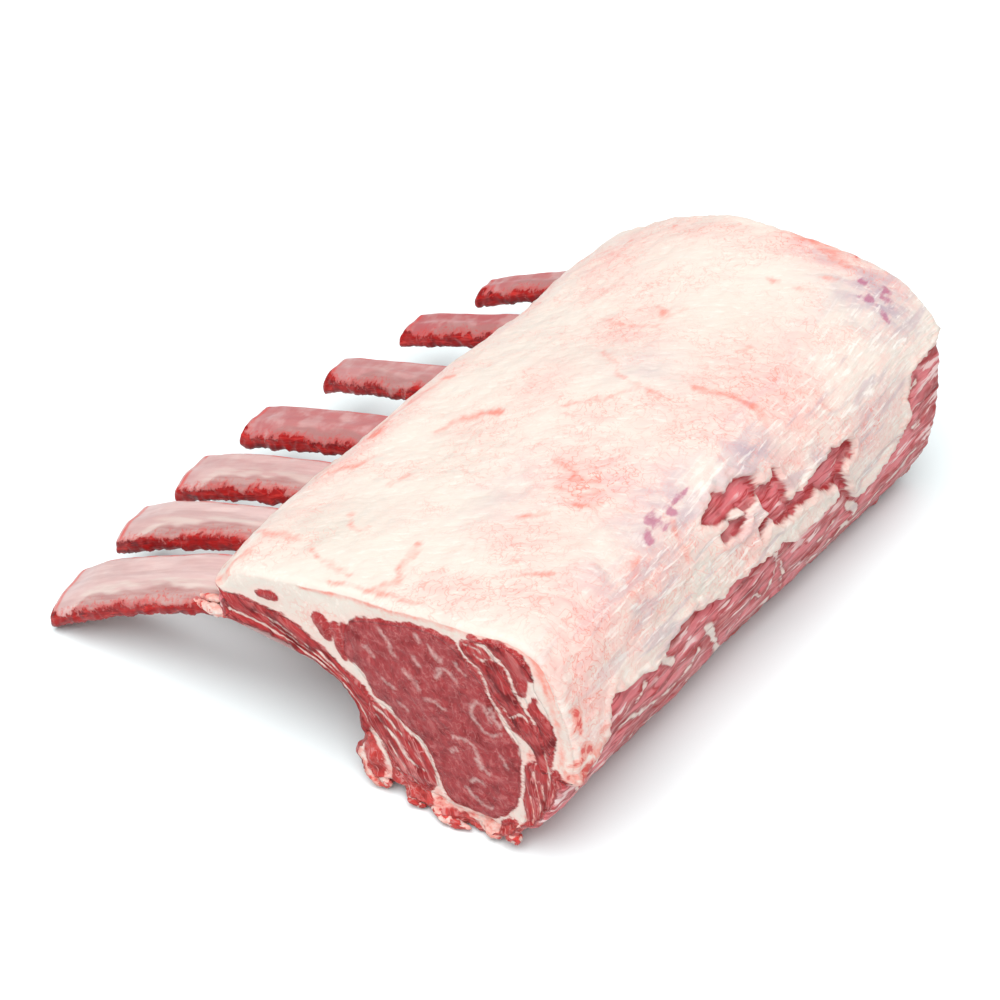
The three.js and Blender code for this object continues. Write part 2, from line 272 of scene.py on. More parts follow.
def even_spacing(curve, step):
    """Positions, in samples of a closed curve, that lie one step apart along it."""
    along = arc_length(curve)
    count = max(12, round(along[-1] / step))
    return np.interp(np.arange(count) / count * along[-1], along, np.arange(len(curve) + 1))


def at_samples(curve, samples):
    closed = np.vstack([curve, curve[:1]])
    grid = np.arange(len(closed))
    return np.stack([np.interp(samples, grid, closed[:, i]) for i in range(2)], 1)


def inside(points, loop):
    """Which points lie inside a closed loop."""
    x, y = points[:, 0][:, None], points[:, 1][:, None]
    a, b = loop, np.roll(loop, -1, 0)
    crosses = (a[:, 1] > y) != (b[:, 1] > y)
    rise = np.where(b[:, 1] == a[:, 1], NEARLY_ZERO, b[:, 1] - a[:, 1])
    reach = a[:, 0] + (y - a[:, 1]) / rise * (b[:, 0] - a[:, 0])
    return (crosses & (x < reach)).sum(1) % 2 == 1


def segment_distance(points, a, b):
    """Distance of each point from the nearest of the segments a-b."""
    best = np.full(len(points), np.inf)
    for p, q in zip(a, b):
        d = q - p
        t = np.clip((points - p) @ d / max(d @ d, NEARLY_ZERO), 0, 1)
        best = np.minimum(best, np.linalg.norm(points - p - t[:, None] * d, axis=1))
    return best


def patch_depth(points, corners):
    """How deep inside a drawn patch each point lies, in mm, and below zero outside it."""
    loop = smooth_loop(corners, PATCH_STEPS)
    distance = segment_distance(points, loop, np.roll(loop, -1, 0))
    return np.where(inside(points, loop), distance, -distance)


def streak_depth(points, line, width):
    """The same for a streak of the given width along an open line."""
    line = np.array(line, float)
    return width / 2 - segment_distance(points, line[:-1], line[1:])


def rough(points, scale, octaves=2, seed=0.0):
    """Fractal noise of about -1 to 1 at mm points, with features of the given size or sizes in mm."""
    scaled = points / np.array(scale, float) + seed
    return np.fromiter((noise.fractal(Vector(p), 1.0, 2.0, octaves) for p in scaled), float, len(points))


def ease(value, low, high):
    t = np.clip((value - low) / (high - low), 0, 1)
    return t * t * (3 - 2 * t)


# ---- The section that every body piece is cut from ----

OUTLINE_STEPS = 60
# The section's inner points lie on a shaken triangular grid. Its row spacing, its shake and how far it
# keeps from the outlines are shares of the mesh spacing.
GRID_ROWS = 0.87
GRID_SHAKE = 0.2
GRID_CLEAR = 0.55
MERGE_DISTANCE = 1e-4


@lru_cache(maxsize=1)
def section():
    """The shoulder-end section as labelled triangles, with what carries each point to the far one."""
    sizes = bpy.context.scene.lamb_sizes
    front, back = body_outline(BODY_FRONT), body_outline(BODY_BACK)
    samples = even_spacing(front, sizes.skin_step / MM)
    rim, rim_back = at_samples(front, samples), at_samples(back, samples)
    flat, triangles = section_mesh(rim, sizes.cut_step / MM)

    rim_tree = tree_of(rim)
    found = [rim_tree.find((p[0], p[1], 0)) for p in flat]
    nearest = np.array([f[1] for f in found])
    tangent = np.roll(rim, -1, 0) - np.roll(rim, 1, 0)
    normal = np.stack([-tangent[:, 1], tangent[:, 0]], 1)
    normal /= np.linalg.norm(normal, axis=1)[:, None]
    total = arc_length(front)[-1]
    girth = np.arange(len(rim)) / len(rim) * total
    weights = 1 / (((flat[:, None] - rim[None]) ** 2).sum(2) + 1e-6)
    carried = (weights[:, :, None] * (rim_back - rim)[None]).sum(1) / weights.sum(1)[:, None]
    return {
        "flat": flat, "triangles": triangles, "label": section_labels(flat, triangles),
        "carried": carried, "depth": np.array([f[2] for f in found]), "normal": normal[nearest],
        "girth": girth[nearest],
    }


def body_outline(points):
    """The body's smooth outline, flat where it rests."""
    curve = smooth_loop(points, OUTLINE_STEPS)
    curve[BASE_POINTS[0] * OUTLINE_STEPS:BASE_POINTS[1] * OUTLINE_STEPS, 1] = 0
    curve[:, 1] = np.maximum(curve[:, 1], 0)
    return curve


def section_mesh(rim, cut_step):
    """Triangles that fill the outline, with edges along every muscle's outline."""
    points = [Vector(p) for p in rim]
    edges = []
    walls = [rim]
    for outline in MUSCLES.values():
        curve = smooth_loop(outline)
        loop = at_samples(curve, even_spacing(curve, cut_step))
        start = len(points)
        points += [Vector(p) for p in loop]
        edges += [(start + i, start + (i + 1) % len(loop)) for i in range(len(loop))]
        walls.append(loop)
    tree = tree_of(np.vstack(walls))
    grid = shaken_grid(rim, cut_step)
    points += [Vector(p) for p in grid if tree.find((p[0], p[1], 0))[2] > GRID_CLEAR * cut_step]
    made = geometry.delaunay_2d_cdt(points, edges, [list(range(len(rim)))[::-1]], 1, MERGE_DISTANCE)
    flat = np.array([tuple(v) for v in made[0]])
    triangles = np.array([f for f, outline in zip(made[2], made[5]) if outline])
    first, second, third = flat[triangles].transpose(1, 0, 2)
    area = np.cross(second - first, third - first)
    return flat, np.where((area < 0)[:, None], triangles[:, ::-1], triangles)


def shaken_grid(rim, cut_step):
    """Points inside the outline."""
    low, high = rim.min(0), rim.max(0)
    columns = np.arange(low[0], high[0], cut_step)
    rows = np.arange(low[1], high[1], cut_step * GRID_ROWS)
    grid = np.array([(x + (j % 2) * cut_step / 2, z) for j, z in enumerate(rows) for x in columns])
    place = np.c_[grid, grid[:, :1] * 0]
    grid += np.stack([rough(place, 1.0, 1, seed) for seed in (3, 9)], 1) * cut_step * GRID_SHAKE
    return grid[inside(grid, rim)]


def section_labels(flat, triangles):
    """The node that each triangle belongs to. Where two outlines overlap, the one listed first wins."""
    middle = flat[triangles].mean(1)
    label = np.full(len(triangles), FAT, dtype=object)
    for name, outline in reversed(list(MUSCLES.items())):
        label[inside(middle, smooth_loop(outline))] = name
    return label


def tree_of(points):
    tree = kdtree.KDTree(len(points))
    for i, p in enumerate(points):
        tree.insert((*p, 0) if len(p) == 2 else p, i)
    tree.balance()
    return tree


def bowed(xz, y):
    """The body isn't a straight prism: its rib-side edge bows out and its cap swells slowly."""
    along = np.clip(y / LENGTH, 0, 1)
    flap = 1 - ease(xz[:, 0], FLAP_BOW_X[1], FLAP_BOW_X[0])
    high = ease(xz[:, 1], *SWELL_Z)
    x = xz[:, 0] - FLAP_BOW * np.sin(np.pi * np.sqrt(along)) * flap
    z = xz[:, 1] + SWELL * np.sin(2 * np.pi * SWELL_WAVES * along) * high
    return np.stack([x, y, z], 1)


# ---- What is drawn on the skin and on the cuts ----
# The skin is drawn on its unrolled plan: (girth from the flap's lower edge, distance along the rack).
# The cuts are drawn as (x, z) in the shoulder-end section. A streak is (width, points).

SKIN_LEAN = {
    "spine side": [
        (134, -6), (133.5, 2), (131.5, 6), (129.5, 11), (126, 13), (121.5, 16), (121, 19), (123, 23),
        (124.5, 29), (126, 34), (123, 37.5), (122, 43), (121, 47), (124, 54), (126, 64), (126.5, 73),
        (130, 88), (133.5, 97), (133, 108), (134, 112.5), (129, 114), (129, 117.5), (136, 121),
        (141, 130), (138, 138), (136, 146), (129, 150), (123, 151.5), (121, 157), (122, 176),
        (215, 176), (215, -6),
    ],
    "front window": [
        (107, 62), (105, 65.5), (104, 70), (106, 73.5), (105, 78), (108, 81), (112, 83.5), (114, 80.5),
        (113.5, 77), (110, 74.5), (110.5, 70), (109, 66),
    ],
    "window tail": [(112, 70.5), (113, 75), (115, 76.5), (115.5, 71), (115, 66.5), (113, 64.5)],
    "middle window": [
        (112, 83), (113, 88), (112, 91), (116, 91.5), (121, 93.5), (123.5, 96.5), (126, 94),
        (125, 89), (122, 85), (118, 83), (115, 81.5),
    ],
    "middle tail": [(117.5, 84), (119.5, 84), (122, 78), (120.5, 77.5)],
    "far window": [
        (121, 94), (120.5, 101), (119.5, 108), (118, 114), (120.5, 119.5), (122.5, 123.5), (125, 123),
        (126.5, 118), (128, 116), (129.5, 112.5), (126, 105), (124, 97),
    ],
}
SKIN_SEAMS = {
    "front lower streak": (1.5, [(134.5, 20), (136, 25), (138.5, 32), (142, 40), (144, 47), (141, 52),
                                 (137, 54)]),
    "front gap": (2.4, [(145, 9), (139, 13), (134, 15.5)]),
    "front speck": (1.8, [(130.5, 26.5), (129, 29.5)]),
    "front square": (3.6, [(127.5, 37.5), (131, 41)]),
    "middle band": (2.6, [(132.5, 56.5), (139, 61), (147, 65), (155, 72)]),
    "curl low": (1.2, [(145, 70), (142, 73.5), (139.5, 77), (143, 84)]),
    "curl high": (1.3, [(127.5, 76), (131, 84.5), (137, 88), (142, 88), (147, 86)]),
    "curl far": (1.1, [(135, 88.5), (143, 94), (151, 97)]),
    "far streak": (1.5, [(143, 117.5), (144, 111)]),
    "far gap": (2.6, [(142, 124), (149, 131), (146, 127)]),
    "low streak": (1.3, [(150, 30), (152, 60), (150, 92)]),
    "far low streak": (1.4, [(150, 108), (152, 135), (148, 160)]),
    "far high streak": (1.0, [(126, 156), (131, 150), (136, 152), (139, 160)]),
}
SALMON_STREAKS = [
    (1.6, [(9, 1), (14, 0.5), (21, 6)]),
    (1.2, [(18, 14), (22, 12.5), (29, 13)]),
    (1.1, [(22, 39), (25, 44), (27, 49)]),
    (1.8, [(21, 57), (18, 67), (21, 77), (23, 85)]),
    (2.2, [(36, 62), (39, 67), (43, 71), (48, 71)]),
    (0.9, [(37, 39), (39, 44)]),
    (0.8, [(35, 25), (38, 20.5), (42, 20)]),
    (0.7, [(34, 10), (42, 7), (48, 6)]),
    (1.4, [(56, 3), (59.5, 7), (58.5, 13), (57, 20)]),
    (0.9, [(45, 2.2), (53, 2.4), (62, 2), (70, 2)]),
    (1.5, [(74, 37), (78, 41)]),
    (1.2, [(85, 18), (90, 21)]),
    (1.4, [(72, 59), (75, 57), (79, 54.5), (85, 56)]),
    (1.1, [(78, 49), (86, 53)]),
    (1.1, [(82, 47), (88, 49)]),
    (2.0, [(110, 54), (106, 53), (102, 55)]),
    (1.3, [(102, 40), (105, 32), (109, 33)]),
    (2.4, [(89, 97), (94, 99), (98, 99), (102, 97)]),
    (1.0, [(103, 113), (107, 120)]),
    (1.0, [(107, 116), (111, 120)]),
    (0.9, [(90, 116), (91, 119)]),
    (1.0, [(66, 124), (70, 121), (73, 125)]),
    (0.7, [(52, 117), (62, 114), (70, 117)]),
    (0.5, [(62, 102), (70, 93), (78, 89), (86, 89)]),
    (0.5, [(62, 77), (72, 81), (78, 89)]),
    (2.2, [(85, 170), (89, 168), (93, 164)]),
    (1.1, [(34, 155.6), (34.4, 156.4)]), (0.9, [(49, 161.6), (49.4, 162.2)]),
    (1.0, [(94, 161.6), (94.3, 162.3)]), (1.0, [(94, 153.6), (94.3, 154.4)]),
    (0.9, [(92, 145.6), (92.3, 146.2)]), (0.9, [(87, 145.6), (87.3, 146.2)]),
]
# Soft areas: (girth, along, half girth, half along, strength).
PINK_AREAS = [
    (80, 30, 12, 12, 0.55), (82, 58, 14, 16, 1.0), (103, 18, 14, 14, 0.95), (117, 8, 12, 9, 1.1),
    (88, 82, 10, 10, 0.6), (99, 108, 13, 16, 1.1), (36, 150, 14, 16, 0.8), (50, 27, 7, 6, 0.25),
    (76, 8, 16, 7, 0.5), (92, 12, 10, 8, 0.8), (93, 88, 9, 10, 0.7), (108, 40, 9, 16, 1.0),
    (64, 114, 12, 14, 0.6), (20, 60, 5, 45, 0.6), (18, 130, 6, 40, 0.6), (90, 164, 12, 7, 0.9),
    (124, 133, 8, 13, 0.9), (113, 96, 7, 8, 0.9), (120, 70, 6, 12, 0.8), (106, 6, 8, 12, 1.0),
    (60, 160, 18, 8, 0.5), (24, 20, 8, 14, 0.4), (53, 84, 9, 16, 0.45), (44, 65, 8, 7, 0.6),
    (74, 72, 8, 10, 0.7), (46, 132, 14, 8, 0.45), (96, 130, 10, 10, 0.5), (112, 28, 6, 10, 0.8),
]
LILAC_AREAS = [
    (103, 157, 8, 10, 1.25), (105, 86, 6, 9, 0.9), (97, 60, 9, 9, 0.7), (99, 47, 8, 8, 0.55),
    (117, 107, 3, 4, 0.7), (121, 133, 6, 12, 0.45), (98, 27, 5, 7, 0.4), (74, 99, 10, 10, 0.3),
    (67, 44, 9, 14, 0.25), (90, 163, 4, 4, 0.5), (129, 24, 4, 6, 0.5),
]
RAW_AREAS = [
    (126, 4, 8, 6, 1.0), (132, 5, 8, 9, 1.2), (118, 2.5, 9, 4, 0.6), (108, 2, 8, 3, 0.3),
    (127, 30, 4, 16, 0.2), (134, 130, 7, 10, 0.3), (12, 8, 5, 6, 0.6),
    (127, 92, 5, 12, 0.25), (127, 120, 4, 10, 0.3), (90, 168, 12, 3, 0.4),
    (128, 164, 9, 8, 0.3), (10, 30, 5, 9, 0.5), (10, 51, 4, 8, 0.6), (10, 75, 4, 8, 0.6),
    (10, 103, 4, 8, 0.6), (10, 134, 4, 8, 0.6), (11, 162, 4, 8, 0.5),
]
CREAM_AREAS = [(119, 56, 8, 11, 0.9), (115, 41, 5, 9, 0.6), (84, 126, 8, 10, 0.5), (34, 17, 12, 9, 0.8),
               (100, 144, 8, 8, 0.6), (46, 60, 10, 14, 0.5)]
PURPLE_SPOTS = [(99, 52, 2.2, 2.8), (100, 46.5, 1.5, 2.4), (99.4, 57, 1.4, 1.8), (98.3, 61, 0.9, 2.8),
                (99.4, 65, 1.0, 2.0), (101.5, 155, 2.2, 1.5), (104, 159, 1.6, 1.8), (106, 153.6, 1.4, 1.6),
                (102.5, 162, 1.2, 1.8), (99, 159, 1.2, 1.6)]

CUT_LEAN = {
    "eye": [
        (-42.2, 46.9), (-36.8, 49.8), (-32.3, 51.7), (-28, 53.3), (-23.6, 54.6), (-19.8, 54.8),
        (-17.3, 54.6),
        (-15.4, 53.8), (-14.4, 52.3), (-13.3, 50.7), (-11.2, 49.8), (-9.8, 48.6), (-8.7, 46.2), (-7.7, 43),
        (-6.2, 40.4), (-4.8, 38), (-3.1, 35.5), (-1.4, 33.7), (0.3, 32.6), (0.9, 30.2), (0.9, 24.4),
        (0.8, 18.4), (-0.3, 14.2), (-2.6, 10.6), (-5.2, 7.7), (-7.9, 7.1), (-10.5, 7.2), (-13.6, 7.5),
        (-16.1, 7.6), (-17.4, 8.6), (-18.3, 10.4), (-18.8, 12.6), (-20, 15.2), (-20.9, 18), (-22.4, 20.3),
        (-24.9, 22.2), (-27.1, 23.2), (-29.4, 24.2), (-31.1, 25.4), (-32.4, 27.4), (-34.7, 28.2),
        (-36.6, 29), (-37.4, 31), (-38.4, 33.6), (-40.1, 35.4), (-41.9, 36.6), (-41.8, 38.9), (-42.4, 41.9),
    ],
    "inner cap": [
        (-13.1, 55.4), (-11, 56.6), (-9.7, 55.9), (-8.3, 55.5), (-6.8, 54.8), (-5.8, 53.9), (-4.3, 53.7),
        (-2.9, 52.5), (-2.1, 50.6), (-1.2, 48.7), (0, 46.5), (1.5, 44.3), (2.7, 42.6), (4.2, 41),
        (5.4, 39.2), (6.5, 36.4), (7.4, 33), (6.6, 31.2), (5.3, 32.8), (4, 34.4), (2.4, 35.7), (0.3, 36.7),
        (-1.4, 38.2), (-2.9, 40), (-4.4, 41.8), (-6, 43.9), (-7.3, 46.3), (-7.9, 49.1), (-8.9, 50.9),
        (-10.6, 51.5), (-12.5, 52.2), (-13.3, 53.7),
    ],
    "outer cap": [
        (-10.9, 59.3), (-8.9, 58.9), (-6.4, 59.4), (-3.4, 60), (-2.4, 59.4), (-0.6, 59.4), (0.5, 59.2),
        (1.8, 58.2), (2.8, 56.9), (3.4, 55.4), (4, 54), (2.6, 53.2), (2, 51.9), (2.2, 49.9), (1.8, 48.1),
        (0.6, 49.1), (-0.6, 51.3), (-1.5, 53.7), (-2.7, 54.9), (-4.1, 55.6), (-5.4, 56.9), (-6.8, 57.9),
        (-8.7, 58.2), (-10.1, 57.9), (-11.2, 58.5),
    ],
    "outer cap below": [
        (5.1, 48.3), (4.9, 46.3), (6.1, 45.2), (7.6, 43.7), (8.7, 41.9), (9.5, 39.5), (9.2, 36.4),
        (8.6, 33), (8.3, 29), (7.4, 30.6), (7.2, 33.6), (6.7, 36), (5.6, 38.8), (4.4, 42), (4.1, 44.8),
    ],
    "spine side": [
        (3.1, 27.7), (4.7, 29.3), (6.4, 31.4), (7.6, 31), (8.3, 28), (8.6, 25.6), (9.6, 26.6), (10.7, 29.8),
        (12, 28.4), (13.7, 27.3), (18, 26), (18, 8), (12, -4), (5, -4), (4.6, 6), (4.2, 13), (3, 16),
        (2.8, 20.6), (3.1, 24.8),
    ],
    "chine side": [
        (-38.2, 27), (-36, 25.1), (-34.3, 24.7), (-31.9, 23.3), (-30.3, 22.1), (-28.1, 21.2), (-25.5, 19.4),
        (-23.5, 17.5), (-22.4, 15.1), (-21.6, 11.9), (-21, 9.6), (-22.2, 7.3), (-24, 5.5), (-26.3, 3.1),
        (-27.7, 4.2), (-28.5, 6.4), (-29.6, 8.9), (-30.9, 10.3), (-32.2, 12.2), (-33.5, 14.6),
        (-35.2, 16.3), (-37.3, 17.9), (-39.1, 19.1), (-39.9, 21.5), (-39.2, 24.4),
    ],
    "rib strip": [
        (-82, 38.2), (-77.3, 39.2), (-71.6, 39.4), (-67.4, 39), (-62.3, 39.4), (-57.6, 38.2), (-53.6, 36.2),
        (-49.6, 34.2), (-46.1, 32), (-42.6, 30.6), (-39.8, 29.2), (-38.6, 27), (-38.8, 22), (-40.6, 22.8),
        (-43.3, 25.2), (-46.5, 27.4), (-51.3, 29.9), (-57.3, 32.1), (-64.8, 33.7), (-72, 35.1), (-82, 36.2),
    ],
    "rib margin": [
        (-84, 33.6), (-72.5, 32.4), (-65, 31.4), (-57.4, 30.2), (-51.8, 28.4), (-47.6, 26), (-44, 23),
        (-41.4, 20.2), (-40.6, 17.2), (-39.2, 14.4), (-37.8, 11.4), (-37.2, 8.4), (-37.8, 6), (-39, 7.4),
        (-40.2, 11.4), (-41.6, 14.6), (-46, 16), (-50, 20), (-60, 24), (-84, 26),
    ],
    "left band": [(-39, 16.4), (-37, 12.6), (-35.6, 9), (-35.2, 6), (-36.4, 4.4), (-38.6, 6), (-40.6, 9.6),
                  (-41.4, 13.4), (-40.6, 17)],
    "left inner": [(-34.8, 13.6), (-32.2, 9.6), (-30.4, 6), (-29.6, 2.6), (-31.4, 1.6), (-33, 4),
                   (-33.4, 8),
                   (-34.6, 11)],
    "flap bit": [(-52.3, 43.6), (-51.4, 45), (-50.1, 45), (-49.1, 42.9), (-48.2, 40.6), (-48.4, 39),
                 (-49.5, 39.2), (-50.9, 40.4), (-51.9, 42)],
    "flap bit two": [(-47.4, 43.8), (-46.7, 40.4), (-46.2, 37.4), (-44.4, 36), (-44.3, 38.2), (-45.4, 41),
                     (-46.3, 44.2)],
    "flap bit three": [(-44.8, 44.6), (-44.9, 40.6), (-43.6, 37.2), (-42, 36.2), (-42.2, 40), (-43.6, 45)],
    "flap spot": [(-68.6, 43.4), (-66.1, 44.7), (-64.1, 45), (-63.5, 44), (-65.9, 43.3)],
    "base pit": [(-39.6, -2), (-38.6, 0.6), (-35, 1.2), (-32.4, 1), (-30.6, 2.6), (-28.4, 1.6),
                 (-27.8, -2)],
    "base scrap": [(-28.8, 0), (-27, 2.8), (-24.8, 4.4), (-22.2, 4.6), (-21.4, 2), (-23.6, -2), (-27, -2)],
    "base tongue": [(-21, -2), (-19.6, 1.4), (-16.6, 3), (-13, 3.4), (-10.4, 1.6), (-10, -2)],
    "base right": [(-2.6, 6.6), (-0.6, 9.2), (1.2, 7), (2.2, 2), (2, -2), (-1.8, -2), (-2.8, 3)],
}
# Lumps of the chine at the front cut: (x, z, radius, how far each stands out). The last is a pit.
CHINE_LUMPS = [
    (-39.4, 3.6, 2.8, 1.8), (-37.6, 9.6, 2.2, 1.4), (-35.2, 4.4, 2.0, 1.2), (-26.6, 2.2, 2.4, 1.4),
    (-21.6, 3.6, 2.0, 1.0), (-16.4, 1.2, 2.8, 1.6), (-9.6, 2.4, 2.2, 1.0), (-4.6, 1.4, 2.2, 0.8),
    (-0.4, 3.2, 2.0, 0.8), (4.2, 4.4, 2.2, 0.6), (-31.8, 0.4, 2.0, -3.0),
]
CUT_SEAMS = {
    "eye seam": (0.9, [(-14.6, 54.2), (-13.2, 51.9), (-11, 50.7), (-9.1, 49.8), (-8.3, 47.9), (-7.6, 44.9),
                       (-6.6, 42.6), (-5.2, 40.4), (-3.5, 37.9), (-1.6, 35.5), (-0.1, 34.1)]),
    "eye seam below": (1.5, [(-0.6, 34.4), (1.2, 32.4), (1.9, 29), (1.8, 24.9), (2, 21.1), (1.7, 16.8),
                             (1, 13.2), (-0.4, 9.8)]),
    "middle seam": (1.15, [(-10.1, 57.3), (-7.8, 57.5), (-6.2, 56.5), (-5.2, 55.1), (-3.5, 54.1),
                           (-2.2, 52.6),
                           (-1.4, 50.4), (0, 47.9), (1.5, 45.8), (3.1, 43.5), (4.6, 41.4)]),
    "zig-zag seam": (0.7, [(-3.6, 41.4), (-2.7, 41), (-1.4, 39.7), (-0.2, 40.4), (1.3, 42.3), (2.1, 42),
                           (3.6, 40.6)]),
    "upper knot": (0.5, [(-13.1, 55.6), (-11, 55.3), (-9.5, 55.3), (-8.5, 54.6), (-7.5, 53.4),
                         (-6, 54.2), (-4.8, 54.2)]),
    "upper streak": (0.4, [(-10.4, 53.4), (-9, 52.4), (-7.6, 52.8), (-6.4, 51.6)]),
    "side seam": (0.8, [(1.5, 32.8), (3.2, 32.7), (4.6, 31), (5, 29.4)]),
    "fork seam": (0.7, [(7.2, 34), (7.9, 31.6), (8.5, 28.8), (8.9, 25.6), (9.4, 23.6)]),
    "left seam": (1.8, [(-56.8, 40.4), (-52.6, 38.2), (-48.7, 35.6), (-46.1, 34.3), (-43.4, 33.6),
                        (-41.3, 33.6),
                        (-39.8, 32), (-38.6, 30)]),
    "left seam end": (1.0, [(-38.6, 30.4), (-37.8, 28.4), (-36.6, 27.2), (-34.8, 26.8), (-32.6, 26.6)]),
    "chine seam": (1.25, [(-30.6, 23.4), (-27.6, 22), (-25.4, 20.7), (-23.4, 19), (-22.2, 17.1),
                          (-21.4, 14.9),
                          (-20.6, 12.3), (-19.5, 10), (-18.3, 7.9), (-16.6, 6.3), (-13.6, 6), (-10.5, 5.8),
                          (-7.6, 5.2), (-4.4, 5.6)]),
    "chine streak": (0.6, [(-31.8, 18.2), (-30.1, 15.7), (-28.3, 14), (-26.1, 13), (-23.8, 12.4)]),
    "chine streak two": (0.7, [(-36.8, 22.6), (-34.4, 20), (-31.4, 17.8), (-28.6, 15.2)]),
    "chine streak three": (0.8, [(-37, 25.2), (-34.6, 23.8), (-32.2, 21.4), (-29.8, 19.8)]),
    "chine streak four": (0.5, [(-33.4, 16.2), (-30.6, 12.2), (-27.6, 8.8), (-25.6, 6.8)]),
    "chine streak five": (0.5, [(-28, 18.6), (-26, 16.4), (-24.4, 14.6)]),
    "bone edge": (2.2, [(-39.4, 17), (-36.7, 14.8), (-34.9, 12.6), (-33.7, 9.6), (-33.3, 6.4),
                        (-33.8, 3.4)]),
    "rib line": (1.7, [(-79, 34.6), (-72, 33.4), (-64.8, 32), (-57.3, 30.4), (-51.3, 28.2), (-46.8, 25.8),
                       (-43.4, 23), (-41, 20)]),
    "strip streak": (0.5, [(-70, 37.2), (-62, 36.4), (-55, 33.8)]),
    "strip streak two": (0.5, [(-66, 35.2), (-58, 33.6), (-50, 30.8), (-45, 28)]),
    "strip streak three": (0.6, [(-52.6, 33.6), (-48, 31.8), (-43.6, 27.8)]),
    "spine streak": (0.4, [(4.6, 26.6), (5.6, 22), (7.4, 17), (8.6, 12)]),
    "spine streak two": (0.4, [(7, 24), (8.2, 20), (9.8, 15)]),
    "spine streak three": (0.35, [(10.6, 26), (11.2, 22), (12.4, 17)]),
    "spine streak four": (0.35, [(4, 19), (5, 15), (6.6, 10)]),
}
# Salmon streaks in the fat of the cut.
CUT_SALMON = [
    (1.9, [(2.6, 60.6), (6, 57.6), (8, 53.4), (9.6, 48.6), (10.8, 44)]),
    (0.8, [(10.8, 44), (12, 38), (12.2, 33)]),
    (2.1, [(-56, 52.4), (-44, 54.8), (-30, 57.4), (-20, 59), (-12, 60)]),
    (1.3, [(-10, 60.2), (-4, 61), (1, 60.6)]),
]
# Pale flecks of the loin eye, as short arcs in the section.
EYE_FLECKS = [
    (0.55, [(-9.8, 41), (-11, 38.4), (-10.4, 35.4), (-8.2, 33.2), (-5.4, 32.6), (-3, 33.8)]),
    (0.5, [(-6.6, 40), (-5.2, 37.4), (-3.4, 35.8)]), (0.45, [(-8.4, 40.6), (-7, 38.2), (-5.8, 36.2)]),
    (0.6, [(-19.6, 44.6), (-17.8, 45.8), (-16.2, 45.2), (-14.6, 43.6)]),
    (0.6, [(-19, 44.4), (-20, 42.4)]), (0.7, [(-21.4, 50.4), (-20.6, 48.4), (-18.6, 47.8)]),
    (0.8, [(-25.4, 52), (-24, 50.8)]), (0.5, [(-34, 48.6), (-31.6, 46), (-30.6, 43.4)]),
    (0.5, [(-15, 27), (-12.6, 28.2), (-10.2, 27), (-9.4, 24.6), (-8.4, 21.6)]),
    (0.6, [(-16.6, 22.6), (-15, 23.6)]), (0.6, [(-9.4, 23.4), (-8.2, 21.8), (-6.2, 21.2)]),
    (0.6, [(-11, 16.2), (-9.4, 17.6), (-7.4, 17.2)]), (0.45, [(-12.6, 13.8), (-11, 12), (-8.4, 10.8),
                                                              (-5.6, 10.4)]),
    (0.45, [(-28.4, 40.6), (-26, 39.4), (-24.4, 37)]), (0.45, [(-22.4, 35.4), (-20, 36), (-18, 34.4)]),
    (0.4, [(-38.6, 42.6), (-36, 40.6)]), (0.4, [(-33.4, 35.4), (-31, 33.6)]), (0.5, [(-25.8, 45.6),
                                                                                     (-24, 43.6)]),
    (0.4, [(-3.4, 28), (-2, 25.4)]), (0.4, [(-30, 30.4), (-27.6, 29.6)]), (0.4, [(-14.8, 49),
                                                                                 (-12.6, 46.6)]),
]
DEEP = 12.0
# Which way the fibres run on a cut, as the degrees that they fall below the x axis, and how drawn
# out they are. Other lean is seen end on.
CUT_FIBRES = {
    "cap_muscle_inner": (54, 3.5), "cap_muscle_outer": (54, 3.5), "spine_side_muscle": (76, 6),
    "chine_side_muscle": (58, 6), "rib_meat": (36, 8), "chine_trim": (50, 2), "loin_eye": (60, 1.4),
}
SKIN_STRETCH = 7


def skin_flow(girth, y):
    """Coordinates on the outer surface in which its fibres, drawn out along the rack, are round."""
    return np.stack([girth, y / SKIN_STRETCH, np.full(len(girth), 40.0)], 1)


def cut_flow(node, flat, y):
    """The same on a cut face."""
    fall, stretch = CUT_FIBRES.get(node, (0, 1))
    c, w = math.cos(math.radians(fall)), math.sin(math.radians(fall))
    along = flat[:, 0] * c - flat[:, 1] * w
    across = flat[:, 0] * w + flat[:, 1] * c
    return np.stack([across, along / stretch, y], 1)


def soft_areas(plan, areas):
    """The strongest of several soft elliptical areas at each point, 0 to 1."""
    best = np.zeros(len(plan))
    for girth, along, half_girth, half_along, strength in areas:
        spread = ((plan[:, 0] - girth) / half_girth) ** 2 + ((plan[:, 1] - along) / half_along) ** 2
        best = np.maximum(best, np.exp(-spread) * strength)
    return best


def deepest(points, patches):
    return np.max([patch_depth(points, corners) for corners in patches], 0)


def deepest_streak(points, streaks, widening=1.0):
    return np.max([streak_depth(points, line, width * widening) for width, line in streaks], 0)


def skin_lean(place, girth, y):
    """Depth in mm inside the bare lean of the outer surface, its torn edge's noise and a shaken plan."""
    torn = rough(place, 3.2, 3, 7.7)
    shake = np.stack([rough(place, 6, 2, 1.3), rough(place, 6, 2, 8.3)], 1)
    wander = np.stack([girth, y], 1) + shake * 1.6
    lean = deepest(wander, SKIN_LEAN.values()) + torn * 1.1
    flap = np.maximum(8.5 - girth, girth - 214) + rough(place, (5, 9, 5), 3, 4.4) * 2.4
    return np.maximum(lean, flap), torn, wander


